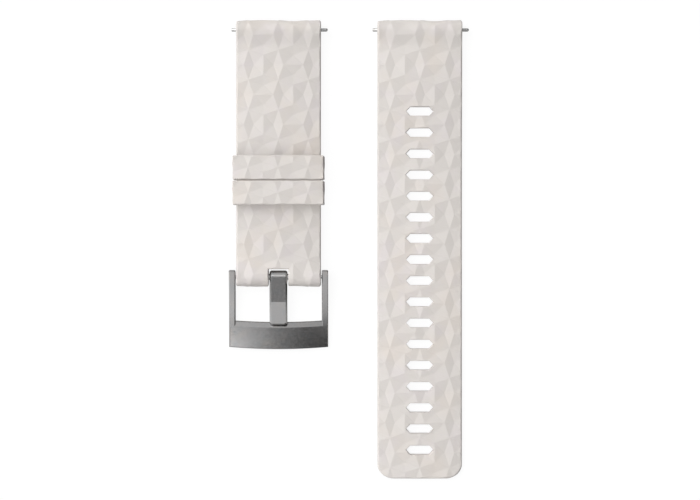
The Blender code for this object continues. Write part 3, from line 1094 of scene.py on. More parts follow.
@dataclass
class Strap:
    """One half of the strap, as a moulded body that the pattern covers."""

    node: str
    body: str
    piece_name: str
    lug: Barrel = field(init=False)
    pattern: FacetPattern = FacetPattern()
    rise: float = 1.3 * MM
    thickness: float = 2.6 * MM
    half_width: float = 12.0 * MM
    edge: Rim = Rim(0.45 * MM, 0.45 * MM, 0.45 * MM, level=0.45, steps=6)
    crown: float = 0.55 * MM
    crown_start: float = 6.0 * MM  # past a bar, where a barrel's straight back has become the crown
    first_stars: float = 8.55 * MM  # from the lug end
    channel_radius: float = 1.05 * MM
    lever_place: float = 7.0 * MM
    lever_travel: float = 1.9 * MM
    window_half_depth: float = 1.55 * MM
    crown_columns: int = 12

    def __post_init__(self) -> None:
        """Takes the strap's place from its CAD node."""
        low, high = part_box(self.node)
        self.middle = (low.x + high.x) / 2
        self.low_end = low.y
        self.lug_end = high.y
        self.axis_height = (low.z + high.z) / 2
        self.lug = Barrel(high.y - Barrel.reach, 1)

    @property
    def barrels(self) -> list[Barrel]:
        """The strap's thick ends."""
        return [self.lug]

    def levels(self, along: float) -> Pair:
        """The underside's and the top's height at a place past the barrels."""
        return self.rise, self.rise + self.thickness

    def profile(self, along: float, skin: Skin) -> tuple[Vector, Vector]:
        """A point (y, z) of the strap's side view, and its normal, for a place on the sheet.

        Args:
            along: The place on the sheet.
            skin: The strap's top or its underside.

        Returns:
            The point and its normal.
        """
        for barrel in self.barrels:
            if barrel.past(along) < 0:
                return barrel.on_round(along, skin.value, self.axis_height)
        heights = [self._height(along + shift, skin) for shift in (-SLOPE_STEP, SLOPE_STEP)]
        slope = (heights[1] - heights[0]) / (2 * SLOPE_STEP)
        normal = Vector((-slope, 1.0)) * skin.value
        return Vector((along, self._height(along, skin))), normal.normalized()

    def _height(self, along: float, skin: Skin) -> float:
        """Height of a skin, thinning from each barrel into the strap.

        Args:
            along: The place on the sheet.
            skin: The strap's top or its underside.

        Returns:
            The height.
        """
        height = self.levels(along)[0 if skin is Skin.LOWER else 1]
        for barrel in self.barrels:
            share = smooth_step(max(barrel.past(along), 0.0) / barrel.run)
            height = mix(self.axis_height + skin.value * barrel.half_height, height, share)
        return height

    def place(self, across: float, along: float, level: float, skin: Skin, drop: float) -> Vector:
        """Places a point of the sheet, as SheetBody asks.

        Args:
            across: The place across the sheet.
            along: The place along it.
            level: The facets' height there, from 0 to 1.
            skin: The upper or the lower skin.
            drop: How far below the skin's surface.

        Returns:
            The point.
        """
        spot, normal = self.profile(along, skin)
        past = min(barrel.past(along) for barrel in self.barrels)
        wrap = self.lug.wrap
        crowned = smooth_step((past + wrap) / (self.crown_start + wrap))
        sink = self.crown * crowned * (across / self.half_width) ** 2 + self.pattern.depth * (1 - level)
        if skin is Skin.LOWER:
            sink *= smooth_step(-past / wrap)
        y, z = spot - normal * (sink + drop)
        return Vector((self.middle + across, y, z))

    def joined(self, across: float, along: float) -> bool:
        """The skins meet along the ends of the barrels."""
        return any(abs(along - barrel.end) < MEET for barrel in self.barrels)

    def rim_at(self, across: float, along: float) -> Rim:
        """The moulded edge round the outline."""
        return self.edge

    def flat_sheet(self) -> FlatSheet:
        """The patterned sheet, cut to the outline less its rim.

        Returns:
            The sheet.
        """
        side = self.half_width - self.edge.width
        sheet = self.pattern.sheet((-side, side), self.sheet_ends(), self.lug_end - self.first_stars)
        for along in self.lines():
            sheet.score((0, along), (0, 1))
        for across in spread(-self.half_width, self.half_width, self.crown_columns)[1:-1]:
            sheet.score((across, 0), (1, 0))
        return sheet

    def sheet_ends(self) -> Pair:
        """The unrolled sheet's two ends."""
        return min(barrel.end for barrel in self.barrels), self.lug.end

    def lines(self) -> list[float]:
        """Where the sheet needs rows of vertices."""
        return [along for barrel in self.barrels for along in barrel.lines()]

    def build(self) -> bpy.types.Object:
        """Builds the moulding, with its bar channels and its lever window cut.

        Returns:
            The new object.
        """
        body = SheetBody(self.flat_sheet(), self.place, self.rim_at, self.joined, crisp_rim=True)
        piece = body.build(self.piece_name)
        reach = self.half_width + CUT_MARGIN
        for barrel in self.barrels:
            ends = [(self.middle + side * reach, barrel.axis, self.axis_height) for side in (-1, 1)]
            carve(piece, rod(*ends, self.channel_radius))
        start = self.lever_place - self.lever_travel - self.window_half_depth
        end = self.lever_place + self.window_half_depth
        carve(
            piece,
            block(
                (self.middle + start, self.lug.axis - self.window_half_depth, -CUT_MARGIN),
                (self.middle + end, self.lug.axis + self.window_half_depth, self.axis_height),
            ),
        )
        return piece

    def dress(self, dresser: Dresser) -> None:
        """Builds the strap and gives it its finish."""
        dresser.dress(self.build(), SILICONE, self.body, self.node)


@dataclass
class BuckleStrap(Strap):
    """The short half, with a second barrel at the buckle and a slot there for the tongue."""

    slot_half_width: float = 2.8 * MM
    slot_depth: float = 2.35 * MM  # past the buckle bar
    slot_rim: Rim = Rim(0.3 * MM, 0.3 * MM, 0.3 * MM, level=0.4, steps=4)

    def __post_init__(self) -> None:
        """Adds the barrel at the buckle."""
        super().__post_init__()
        self.buckle = Barrel(self.low_end + Barrel.reach, -1)

    @property
    def barrels(self) -> list[Barrel]:
        """A barrel at each end."""
        return [self.lug, self.buckle]

    def rim_at(self, across: float, along: float) -> Rim:
        """A smaller rim round the tongue's slot."""
        return self.edge if abs(across) > self.half_width / 2 else self.slot_rim

    def flat_sheet(self) -> FlatSheet:
        """Cuts the tongue's slot, open at the strap's end.

        Returns:
            The sheet.
        """
        sheet = super().flat_sheet()
        half = self.slot_half_width + self.slot_rim.width
        top = self.buckle.axis + self.slot_depth + self.slot_rim.width
        foot = self.buckle.end - CUT_MARGIN
        sheet.punch([(-half, foot), (half, foot), (half, top), (-half, top)])
        return sheet


@dataclass
class TailStrap(Strap):
    """The long half, with a row of slots and a tail with round corners."""

    tip_thickness: float = 2.4 * MM
    droop_start: float = 9.0 * MM
    droop_length: float = 30.0 * MM
    droop_rows: int = 10
    slots: int = 17
    first_slot: float = 25.85 * MM
    slot_pitch: float = 6.0 * MM
    slot_half_length: float = 3.85 * MM
    slot_half_flat: float = 2.7 * MM
    slot_half_height: float = 1.25 * MM
    slot_rim: Rim = Rim(0.18 * MM, 0.2 * MM, 0.2 * MM, level=0.5, steps=3)
    corner_across: float = 4.7 * MM
    corner_along: float = 4.1 * MM

    def levels(self, along: float) -> Pair:
        """The strap droops from its barrel's height to the table and thins towards its tip.

        Args:
            along: The place on the sheet.

        Returns:
            The underside's and the top's height.
        """
        past = self.lug.past(along)
        droop = smooth_step((past - self.droop_start) / self.droop_length)
        low = mix(self.rise, 0.0, droop)
        share = min(max(past, 0.0) / (self.lug.axis - self.low_end), 1.0)
        return low, low + mix(self.thickness, self.tip_thickness, share)

    def sheet_ends(self) -> Pair:
        """From the tip, less its rim, to the end of the barrel."""
        return self.low_end + self.edge.width, self.lug.end

    def lines(self) -> list[float]:
        """Adds the rows that follow the droop."""
        start = self.lug.axis - self.droop_start
        return super().lines() + spread(start, start - self.droop_length, self.droop_rows)

    def rim_at(self, across: float, along: float) -> Rim:
        """A smaller rim round each slot."""
        in_slots = abs(across) < self.half_width / 2 and along > self.low_end + self.slot_pitch / 2
        return self.slot_rim if in_slots else self.edge

    def slot_outline(self, centre: float) -> list[Pair]:
        """A long hexagon, grown by the slot's rim.

        Args:
            centre: The slot's middle along the strap.

        Returns:
            Its corners.
        """
        grow = self.slot_rim.width
        slant = math.atan2(self.slot_half_height, self.slot_half_length - self.slot_half_flat)
        half_height = self.slot_half_height + grow
        half_length = self.slot_half_length + grow / math.sin(slant)
        half_flat = half_length - half_height / math.tan(slant)
        right = [(half_flat, -half_height), (half_length, 0.0), (half_flat, half_height)]
        outline = right + [(-x, -y) for x, y in right]
        return [(x, centre + y) for x, y in outline]

    def flat_sheet(self) -> FlatSheet:
        """Cuts the slots and rounds the tail's corners.

        Returns:
            The sheet.
        """
        sheet = super().flat_sheet()
        for i in range(self.slots):
            sheet.punch(self.slot_outline(self.lug_end - self.first_slot - i * self.slot_pitch))
        for side in (-1, 1):
            centre = (side * (self.half_width - self.corner_across), self.low_end + self.corner_along)
            across = side * (self.corner_across - self.edge.width)
            sheet.trim_corner(centre, across, self.edge.width - self.corner_along)
        return sheet


# Keepers


@dataclass
class Keeper:
    """A loop round the strap, patterned outside and plain inside."""

    node: str
    body: str
    wall: float = 1.0 * MM
    corner: float = 0.8 * MM
    crown: float = 0.3 * MM
    pattern: FacetPattern = FacetPattern()
    edge: Rim = Rim(0.3 * MM, 0.3 * MM, 0.2 * MM, level=0.5, steps=4)
    corner_steps: int = 8
    top_columns: int = 12

    def __post_init__(self) -> None:
        """Takes the loop's size from its CAD node."""
        low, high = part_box(self.node)
        self.centre = (low + high) / 2
        self.half_width = (high.x - low.x) / 2
        self.height = high.z - low.z
        self.half_length = (high.y - low.y) / 2
        self.top = self.half_width - self.corner
        self.arc = QUARTER_TURN * self.corner
        self.side = self.height - 2 * self.corner
        self.half_loop = 2 * self.top + 2 * self.arc + self.side

    def path(self, along_loop: float) -> tuple[Vector, Vector]:
        """A point (x, z) of the loop's outside, from the middle of its top, and its normal.

        Args:
            along_loop: How far round, negative towards -X.

        Returns:
            The point and its normal.
        """
        side = math.copysign(1.0, along_loop)
        rest = abs(along_loop)
        if rest <= self.top:
            return Vector((side * rest, self.height)), Vector((0, 1))
        rest -= self.top
        if rest <= self.arc:
            return self._on_corner(side, self.height - self.corner, QUARTER_TURN - rest / self.corner)
        rest -= self.arc
        if rest <= self.side:
            return Vector((side * self.half_width, self.height - self.corner - rest)), Vector((side, 0))
        rest -= self.side
        if rest <= self.arc:
            return self._on_corner(side, self.corner, -rest / self.corner)
        rest -= self.arc
        return Vector((side * (self.top - rest), 0)), Vector((0, -1))

    def _on_corner(self, side: float, height: float, angle: float) -> tuple[Vector, Vector]:
        """A point on a round corner of the loop, and its normal."""
        normal = Vector((side * math.cos(angle), math.sin(angle)))
        return Vector((side * self.top, height)) + normal * self.corner, normal

    def place(self, across: float, along: float, level: float, skin: Skin, drop: float) -> Vector:
        """Places a point of the sheet, as SheetBody asks. Across runs round the loop.

        Args:
            across: The place across the sheet.
            along: The place along it.
            level: The facets' height there, from 0 to 1.
            skin: The upper or the lower skin.
            drop: How far below the skin's surface.

        Returns:
            The point.
        """
        spot, normal = self.path(across)
        if skin is Skin.LOWER:
            sink = self.wall - drop
        else:
            shown = 1 - smooth_step((abs(across) - self.top - self.arc - self.side / 2) / self.side)
            over_top = min(abs(across) / self.top, 1.0) ** 2 * shown
            sink = drop + self.crown * over_top + self.pattern.depth * (1 - level) * shown
        x, z = spot - normal * sink
        if skin is Skin.LOWER:
            # The outside's corners are tighter than the wall is thick, so the inside's are square.
            opening = self.half_width - sink
            x = min(max(x, -opening), opening)
            z = min(max(z, sink), self.height - sink)
        return Vector((self.centre.x + x, self.centre.y + along, z))

    def joined(self, across: float, along: float) -> bool:
        """The loop closes under the strap."""
        return abs(abs(across) - self.half_loop) < MEET

    def build(self) -> bpy.types.Object:
        """Builds the loop.

        Returns:
            The new object.
        """
        length = self.half_length - self.edge.width
        sheet = self.pattern.sheet((-self.half_loop, self.half_loop), (-length, length), 0.0)
        lines = spread(0, self.top, self.top_columns // 2)[:-1]
        lines += spread(self.top, self.top + self.arc, self.corner_steps)
        below = self.top + self.arc + self.side
        lines += spread(below, below + self.arc, self.corner_steps)
        for across in lines:
            for side in (-1, 1):
                sheet.score((side * across, 0), (1, 0))
        body = SheetBody(sheet, self.place, lambda across, along: self.edge, self.joined, crisp_rim=True)
        return body.build(self.node + "_moulding")

    def dress(self, dresser: Dresser) -> None:
        """Builds the keeper and gives it its finish.

        The soft key light passes it, which keeps the shade that it throws on the strap faint.

        Args:
            dresser: What finishes it.
        """
        piece = self.build()
        piece.visible_shadow = False
        dresser.dress(piece, SILICONE, self.body, self.node)


# Buckle


@dataclass
class Buckle:
    """The pin buckle: a frame that turns on the bar, and a tongue that turns on it too."""

    arm_width: float = 1.78 * MM
    arm_end_radius: float = 1.98 * MM
    arm_end_level: float = 2.2 * MM  # above the bar
    arm_end_corner: float = 0.4 * MM
    plate_top: float = 2.5 * MM
    window_end: float = 12.4 * MM
    window_bulge: float = 0.42 * MM
    ledge_length: float = 1.55 * MM
    ledge_drop: float = 0.9 * MM
    plate_length: float = 5.92 * MM
    plate_bulge: float = 0.6 * MM
    plate_crown: float = 0.8 * MM
    heel: float = 5.94 * MM
    fillet: float = 0.15 * MM
    hole_radius: float = 0.65 * MM
    hole_depth: float = 1.05 * MM
    frame_edge: Rim = Rim(0.28 * MM, 0.24 * MM, 0.24 * MM, form=Edge.CHAMFER)
    arm_rows: int = 10
    round_rows: int = 16
    plate_columns: int = 24
    plate_rows: int = 5
    tongue_half_width: float = 2.5 * MM
    tongue_thickness: float = 1.5 * MM
    tongue_bend: float = 7.06 * MM
    tip_thickness: float = 0.6 * MM
    tip_gap: float = 0.72 * MM
    pad: float = 0.9 * MM
    rest_gap: float = 0.15 * MM
    eye_radius: float = 1.85 * MM
    eye_bore: float = 1.02 * MM
    eye_turn: float = math.radians(273)
    tongue_edge: Rim = Rim(0.45 * MM, 0.38 * MM, 0.2 * MM, form=Edge.CHAMFER)
    tip_corner: float = 0.5 * MM
    tip_corner_steps: int = 6
    tongue_columns: int = 6
    bore_rows: int = 4
    eye_rows: int = 30

    def __post_init__(self) -> None:
        """Takes the bar's axis and the frame's width from the CAD nodes."""
        low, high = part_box("buckle_bar_tube")
        self.axis = (low + high) / 2
        frame_low, frame_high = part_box("buckle_frame")
        self.outer = (frame_high.x - frame_low.x) / 2
        self.inner = self.outer - self.arm_width
        self.end = Barrel(0.0, 1, self.arm_end_radius, self.arm_end_radius)
        self.plate_level = self.plate_top - self.axis.z
        self.floor = -self.axis.z
        self.ledge_end = self.window_end + self.ledge_length
        self.plate_end = self.ledge_end + self.plate_length
        self._knots = self.tongue_knots()

    # The frame

    def bow(self, across: float, half_width: float, height: float) -> float:
        """How far an edge that bows outwards stands out."""
        return height * (1 - min(abs(across) / half_width, 1.0) ** 2)

    def plate_line(self, across: float, row: int) -> Pair:
        """Along and level of one of the plate's rows: window edge, ledge edge, then to the end.

        Args:
            across: The place across the frame.
            row: The row's number.

        Returns:
            The row's place along, and its height.
        """
        window_bow = self.bow(across, self.inner, self.window_bulge)
        ledge = self.ledge_end + window_bow
        if row == 0:
            rim_share = self.frame_edge.width / self.ledge_length
            start = self.window_end + window_bow + self.frame_edge.width
            return -start, self.plate_level - self.ledge_drop * (1 - rim_share)
        end = self.plate_end + self.bow(across, self.outer, self.plate_bulge) - self.frame_edge.width
        return -mix(ledge, end, (row - 1) / self.plate_rows), self.plate_level

    def arm_level(self, along: float) -> float:
        """Height of an arm's top, which falls from its end to the plate in one hollow curve."""
        rest = (along + self.ledge_end) / (self.arm_end_radius + self.ledge_end)
        return mix(self.plate_level, self.arm_end_level, max(rest, 0.0) ** 2)

    def arm_end(self, share: float) -> tuple[Vector, Vector]:
        """A point of an arm's blunt upper end.

        Args:
            share: 0 above the bar, 1 at the end's middle.

        Returns:
            The point (y, z) from the bar's axis, and its normal.
        """
        corner = self.arm_end_corner
        start = self.arm_end_radius - corner
        height = self.arm_level(start)
        arc = QUARTER_TURN * corner
        rest = share * (start + arc + height - corner)
        if rest <= start:
            return Vector((rest, self.arm_level(rest))), Vector((0, 1))
        rest -= start
        if rest <= arc:
            normal = Vector((math.sin(rest / corner), math.cos(rest / corner)))
            return Vector((start, height - corner)) + normal * corner, normal
        rest -= arc
        return Vector((self.arm_end_radius, height - corner - rest)), Vector((1, 0))

    def frame_sheet(self) -> FlatSheet:
        """The frame's outline less its rim, as a grid of columns from one arm to the other.

        Returns:
            The sheet.
        """
        edge = self.frame_edge.width
        arm = [self.inner + edge, (self.inner + self.outer) / 2, self.outer - edge]
        window = spread(-self.inner + self.fillet, self.inner - self.fillet, self.plate_columns)
        columns = [-x for x in reversed(arm)] + [-self.inner] + window + [self.inner] + arm
        sheet = FlatSheet()
        for left, right in zip(columns, columns[1:]):
            middle = abs(left + right) / 2
            first = 0 if middle < self.inner else 1
            for row in range(first, self.plate_rows + 1):
                zone = 1 if row == 0 else 2
                self._quad(sheet, left, right, ("plate", row), ("plate", row + 1), zone)
            if middle > self.inner + edge:
                rows = self._arm_rows()
                for upper, lower in zip(rows, rows[1:]):
                    self._quad(sheet, left, right, upper, lower, zone=3)
        return sheet

    def _arm_rows(self) -> list[tuple]:
        """The keys of an arm's rows, from its round end to the plate."""
        return [("arm", i) for i in range(self.round_rows + self.arm_rows)] + [("plate", 1)]

    def _row_place(self, across: float, key: tuple) -> tuple[float, float, float]:
        """The place of a column's vertex on a row.

        Args:
            across: The column's place.
            key: The row's kind and number.

        Returns:
            The place (across, along, level).
        """
        kind, i = key
        if kind == "plate":
            along, level = self.plate_line(across, i)
        elif i < self.round_rows:
            along, level = self.end.end * (1 - i / self.round_rows), 0.0
        else:
            last = self.plate_line(across, 1)[0]
            along = last * (i - self.round_rows) / self.arm_rows
            level = self.arm_level(along)
        return across, along, level

    def _quad(
        self, sheet: FlatSheet, left: float, right: float, upper: tuple, lower: tuple, zone: int
    ) -> None:
        """One cell of the grid, in a zone whose border is crisp.

        Args:
            sheet: The sheet to add it to.
            left: Its left column.
            right: Its right column.
            upper: Its upper row's key.
            lower: Its lower row's key.
            zone: The zone.
        """
        corners = ((left, lower), (right, lower), (right, upper), (left, upper))
        sheet.add_facet([((across, key), self._row_place(across, key)) for across, key in corners], zone)

    def frame_place(self, across: float, along: float, level: float, skin: Skin, drop: float) -> Vector:
        """Places a point of the frame's sheet. The level is the height of the top above the bar.

        Args:
            across: The place across the sheet.
            along: The place along it.
            level: The top's height.
            skin: The upper or the lower skin.
            drop: How far below the skin's surface.

        Returns:
            The point.
        """
        if along > 0 and skin is Skin.UPPER:
            spot, normal = self.arm_end(along / self.end.end)
        elif along > 0:
            spot, normal = self.end.on_round(along, skin.value, 0.0)
        else:
            low = mix(-self.arm_end_radius, self.floor, min(-along / self.heel, 1.0))
            crown = self.plate_crown * (across / self.outer) ** 2 * smooth_step(-along / self.plate_end)
            spot = Vector((along, level - crown if skin is Skin.UPPER else low))
            normal = Vector((0.0, skin.value))
        y, z = spot - normal * drop
        return self.axis + Vector((across, y, z))

    def build_frame(self) -> bpy.types.Object:
        """Builds the frame with the blind holes that the bar's tips snap into.

        Returns:
            The new object.
        """
        body = SheetBody(
            self.frame_sheet(),
            self.frame_place,
            lambda across, along: self.frame_edge,
            lambda across, along: abs(along - self.end.end) < MEET,
            crisp_rim=True,
        )
        piece = body.build("buckle_frame_blasted", sharp_angle=STEEL_ANGLE)
        reach = self.inner + self.hole_depth
        ends = [self.axis + Vector((side * reach, 0, 0)) for side in (-1, 1)]
        carve(piece, rod(*ends, self.hole_radius))
        return piece

    # The tongue

    def ledge_level(self, past: float) -> float:
        """Height of the ledge at its middle, past the bar."""
        start = self.window_end + self.window_bulge
        return self.plate_level - self.ledge_drop * (1 - (past - start) / self.ledge_length)

    def tongue_knots(self) -> list[tuple[float, Vector, Vector]]:
        """The tongue's straight stretches: place on the strip, outer point and inner point (y, z).

        Returns:
            The ends of the stretches, from the tip to above the bar.
        """
        tip = self.ledge_end + self.window_bulge - self.tip_gap
        tip_low = self.ledge_level(tip) + self.rest_gap
        pad_low = self.ledge_level(tip - self.pad) + self.rest_gap
        under = self.eye_radius - self.tongue_thickness
        meets_bore = math.sqrt(self.eye_bore**2 - under**2)
        outer = [
            Vector((-tip, tip_low + self.tip_thickness)),
            Vector((-tip + self.pad, 0)),
            Vector((-self.tongue_bend, self.eye_radius)),
            Vector((-meets_bore, self.eye_radius)),
            Vector((0, self.eye_radius)),
        ]
        outer[1].y = mix(outer[0].y, outer[2].y, self.pad / (tip - self.tongue_bend))
        inner = [
            Vector((-tip, tip_low)),
            Vector((-tip + self.pad, pad_low)),
            Vector((-self.tongue_bend, under)),
            Vector((-meets_bore, under)),
            Vector((0, self.eye_bore)),
        ]
        knots = []
        along = 0.0
        for i, (over, below) in enumerate(zip(outer, inner)):
            along += (over - outer[i - 1]).length if i else 0.0
            knots.append((along, over, below))
        return knots

    def tongue_place(self, across: float, along: float, level: float, skin: Skin, drop: float) -> Vector:
        """Places a point of the tongue's strip, which starts at its tip and rolls round the bar.

        Args:
            across: The place across the sheet.
            along: The place along it.
            level: Not used: the tongue is plain.
            skin: The upper or the lower skin.
            drop: How far below the skin's surface.

        Returns:
            The point.
        """
        knots = self._knots
        straight = knots[-1][0]
        if along >= straight:
            angle = QUARTER_TURN - (along - straight) / self.eye_radius
            outward = Vector((math.cos(angle), math.sin(angle)))
            radius = self.eye_radius - drop if skin is Skin.UPPER else self.eye_bore + drop
            y, z = outward * radius
            return self.axis + Vector((across, y, z))
        i = max(k for k in range(len(knots) - 1) if knots[k][0] <= max(along, 0.0))
        start, end = knots[i], knots[i + 1]
        share = (along - start[0]) / (end[0] - start[0])
        which = 1 if skin is Skin.UPPER else 2
        spot = start[which].lerp(end[which], share)
        if which == 2 and i == len(knots) - 2:
            spot.y = math.sqrt(max(self.eye_bore**2 - spot.x**2, 0.0))
        y, z = spot - Vector((0, skin.value * drop))
        return self.axis + Vector((across, y, z))

    def build_tongue(self) -> bpy.types.Object:
        """Builds the tongue as one strip, rolled round the bar at its eye.

        Returns:
            The new object.
        """
        edge = self.tongue_edge.width
        start = edge
        straight = self._knots[-1][0]
        end = straight + self.eye_radius * self.eye_turn - edge
        half = self.tongue_half_width - edge
        rows = sorted(
            [start, *(knot[0] for knot in self._knots[1:])]
            + spread(self._knots[-2][0], straight, self.bore_rows)[1:-1]
            + spread(straight, end, self.eye_rows)[1:]
        )
        columns = spread(-half, half, self.tongue_columns)
        bend = self._knots[2][0] - TINY
        sheet = FlatSheet()
        for low, high in zip(rows, rows[1:]):
            for left, right in zip(columns, columns[1:]):
                corners = ((left, low), (right, low), (right, high), (left, high))
                zone = 1 if low < bend else 2
                sheet.add_facet([(corner, (*corner, 0.0)) for corner in corners], zone)
        corner = self.tip_corner
        for side in (-1, 1):
            centre = (side * (half - corner), start + corner)
            sheet.trim_corner(centre, side * corner, -corner, self.tip_corner_steps)
        body = SheetBody(
            sheet, self.tongue_place, lambda across, along: self.tongue_edge, crisp_rim=True
        )
        return body.build("buckle_tongue_blasted", sharp_angle=STEEL_ANGLE)

    def dress(self, dresser: Dresser) -> None:
        """Builds the frame and the tongue and gives them their finish."""
        dresser.dress(self.build_frame(), BLASTED_STEEL, "frame", "buckle_frame")
        dresser.dress(self.build_tongue(), BLASTED_STEEL, "tongue", "buckle_tongue")


# Spring bars


@dataclass(frozen=True)
class PinEnd:
    """A pin's worked end: how long it tapers, and by how much its radius shrinks there."""

    taper: float
    shrink: float


@dataclass
class SpringBar:
    """What a lug bar and the buckle's bar have in common: a tube with crimped lips, and its tips."""

    prefix: str
    body: str
    pin_radius: float = 0.5 * MM
    bore: float = 0.68 * MM
    lip: float = 0.3 * MM
    fit: float = 0.06 * MM
    crimp: float = 0.16 * MM

    def __post_init__(self) -> None:
        """Takes the tube's place from its CAD node."""
        low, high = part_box(self.prefix + "_tube")
        self.centre = (low + high) / 2
        self.half_length = (high.x - low.x) / 2
        self.radius = (high.y - low.y) / 2

    def tube(self) -> bpy.types.Object:
        """The tube, whose ends are crimped inwards to keep the tips in.

        Returns:
            The new object.
        """
        end, hole = self.half_length, self.pin_radius + self.fit
        mouth = end - self.crimp
        inside = end - self.lip
        profile = [(-end, hole), (-end, self.radius - self.crimp), (-mouth, self.radius)]
        profile += [(mouth, self.radius), (end, self.radius - self.crimp), (end, hole)]
        profile += [(inside, hole), (inside, self.bore), (-inside, self.bore), (-inside, hole)]
        return Turning(tuple(profile), ring=True).build(self.prefix + "_tube_turned", self.centre)

    def tip(self, node: str, facing: int, pin_end: PinEnd) -> bpy.types.Object:
        """A tip: a shoulder kept in by the tube's lip, a neck, and a pin with a worked end.

        Args:
            node: The CAD node that gives its length.
            facing: 1 if its pin points to +X, or -1.
            pin_end: The form of the pin's end.

        Returns:
            The new object.
        """
        low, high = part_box(node)
        back, end = sorted(facing * (x - self.centre.x) for x in (low.x, high.x))
        stop = self.half_length - self.lip - self.fit
        shoulder = self.bore - self.fit
        profile = (
            (back, 0.0),
            (back, shoulder),
            (stop, shoulder),
            (stop, self.pin_radius),
            (end - pin_end.taper, self.pin_radius),
            (end, self.pin_radius - pin_end.shrink),
            (end, 0.0),
        )
        return Turning(profile).build(node + "_turned", self.centre, facing)


@dataclass
class LugBar(SpringBar):
    """A quick-release bar: its right end is a plunger with a lever that a fingernail pulls."""

    release: str = ""
    lever_radius: float = 0.25 * MM
    lever_slot_clearance: float = 0.15 * MM
    lever_sides: int = 24
    knob_gap: float = 0.12 * MM  # from the tube to the knob
    knob_neck: float = 0.14 * MM
    knob_waist: tuple[float, float, float] = (0.72, 0.5, 0.28)  # top, middle, foot: shares of its height
    knob_foot: Pair = (0.12 * MM, 0.1 * MM)  # the chamfer at its foot, across and up
    fixed_end: PinEnd = PinEnd(0.2 * MM, 0.12 * MM)
    plunger_end: PinEnd = PinEnd(0.4 * MM, 0.2 * MM)

    def dress(self, dresser: Dresser) -> None:
        """Builds the bar's five pieces and gives them their finish.

        Args:
            dresser: What finishes them.
        """
        prefix = self.prefix
        lever_low, lever_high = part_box(prefix + "_lever")
        lever_at = (lever_low + lever_high) / 2
        reach = dresser.travel[prefix + "_plunger_slide"]
        tube = self.tube()
        half = self.lever_radius + self.lever_slot_clearance
        slot_low = (lever_at.x - reach - half, self.centre.y - half, self.centre.z - 2 * self.radius)
        slot_high = (lever_at.x + half, self.centre.y + half, self.centre.z)
        carve(tube, block(slot_low, slot_high))
        dresser.dress(tube, TURNED_STEEL, self.body, prefix + "_tube")
        fixed = self.tip(prefix + "_fixed_tip", -1, self.fixed_end)
        dresser.dress(fixed, TURNED_STEEL, self.body, prefix + "_fixed_tip")
        plunger = self.tip(prefix + "_plunger", 1, self.plunger_end)
        hole_top = Vector((lever_at.x, self.centre.y, self.centre.z))
        hole_low = hole_top - Vector((0, 0, 2 * self.radius))
        carve(plunger, rod(hole_low, hole_top, self.lever_radius + self.fit, self.lever_sides))
        dresser.dress(plunger, TURNED_STEEL, self.release, prefix + "_plunger")
        dresser.dress(self.lever(lever_low, lever_high), TURNED_STEEL, self.release, prefix + "_lever")
        coil = Coil.from_node(prefix + "_spring")
        spring = coil.build(prefix + "_spring_wound")
        dresser.dress(spring, SPRING_WIRE, self.body, prefix + "_spring")
        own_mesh(spring)

    def lever(self, low: Vector, high: Vector) -> bpy.types.Object:
        """The lever: a stem down through the tube's slot, and a waisted knob below it.

        Args:
            low: The CAD lever's lowest corner.
            high: Its highest corner.

        Returns:
            The new object.
        """
        knob = (high.x - low.x) / 2
        knob_top = self.centre.z - self.radius - self.knob_gap - low.z
        waist_top, waist_middle, waist_foot = (share * knob_top for share in self.knob_waist)
        chamfer_across, chamfer_up = self.knob_foot
        profile = (
            (high.z - low.z, 0.0),
            (high.z - low.z, self.lever_radius),
            (knob_top, self.lever_radius),
            (knob_top, knob),
            (waist_top, knob),
            (waist_middle, knob - self.knob_neck),
            (waist_foot, knob),
            (chamfer_up, knob),
            (0.0, knob - chamfer_across),
            (0.0, 0.0),
        )
        place = Vector(((low.x + high.x) / 2, (low.y + high.y) / 2, low.z))
        return Turning(profile).build(self.prefix + "_lever_turned", place, axis="Z")


@dataclass
class BuckleBar(SpringBar):
    """The buckle's bar, with a sprung tip at each end and half a spring behind each."""

    tip_end: PinEnd = PinEnd(0.15 * MM, 0.12 * MM)

    def dress(self, dresser: Dresser) -> None:
        """Builds the bar's pieces and gives them their finish.

        Args:
            dresser: What finishes them.
        """
        dresser.dress(self.tube(), TURNED_STEEL, self.body, self.prefix + "_tube")
        whole = Coil.from_node(self.prefix + "_spring")
        for side, facing in (("left", -1), ("right", 1)):
            node = f"{self.prefix}_{side}_tip"
            tip = self.tip(node, facing, self.tip_end)
            dresser.dress(tip, TURNED_STEEL, f"{self.prefix}_{side}", node)
            half = whole.half(facing)
            spring = half.build(f"{self.prefix}_spring_{side}_wound")
            dresser.dress(spring, SPRING_WIRE, self.body, self.prefix + "_spring")
            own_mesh(spring)


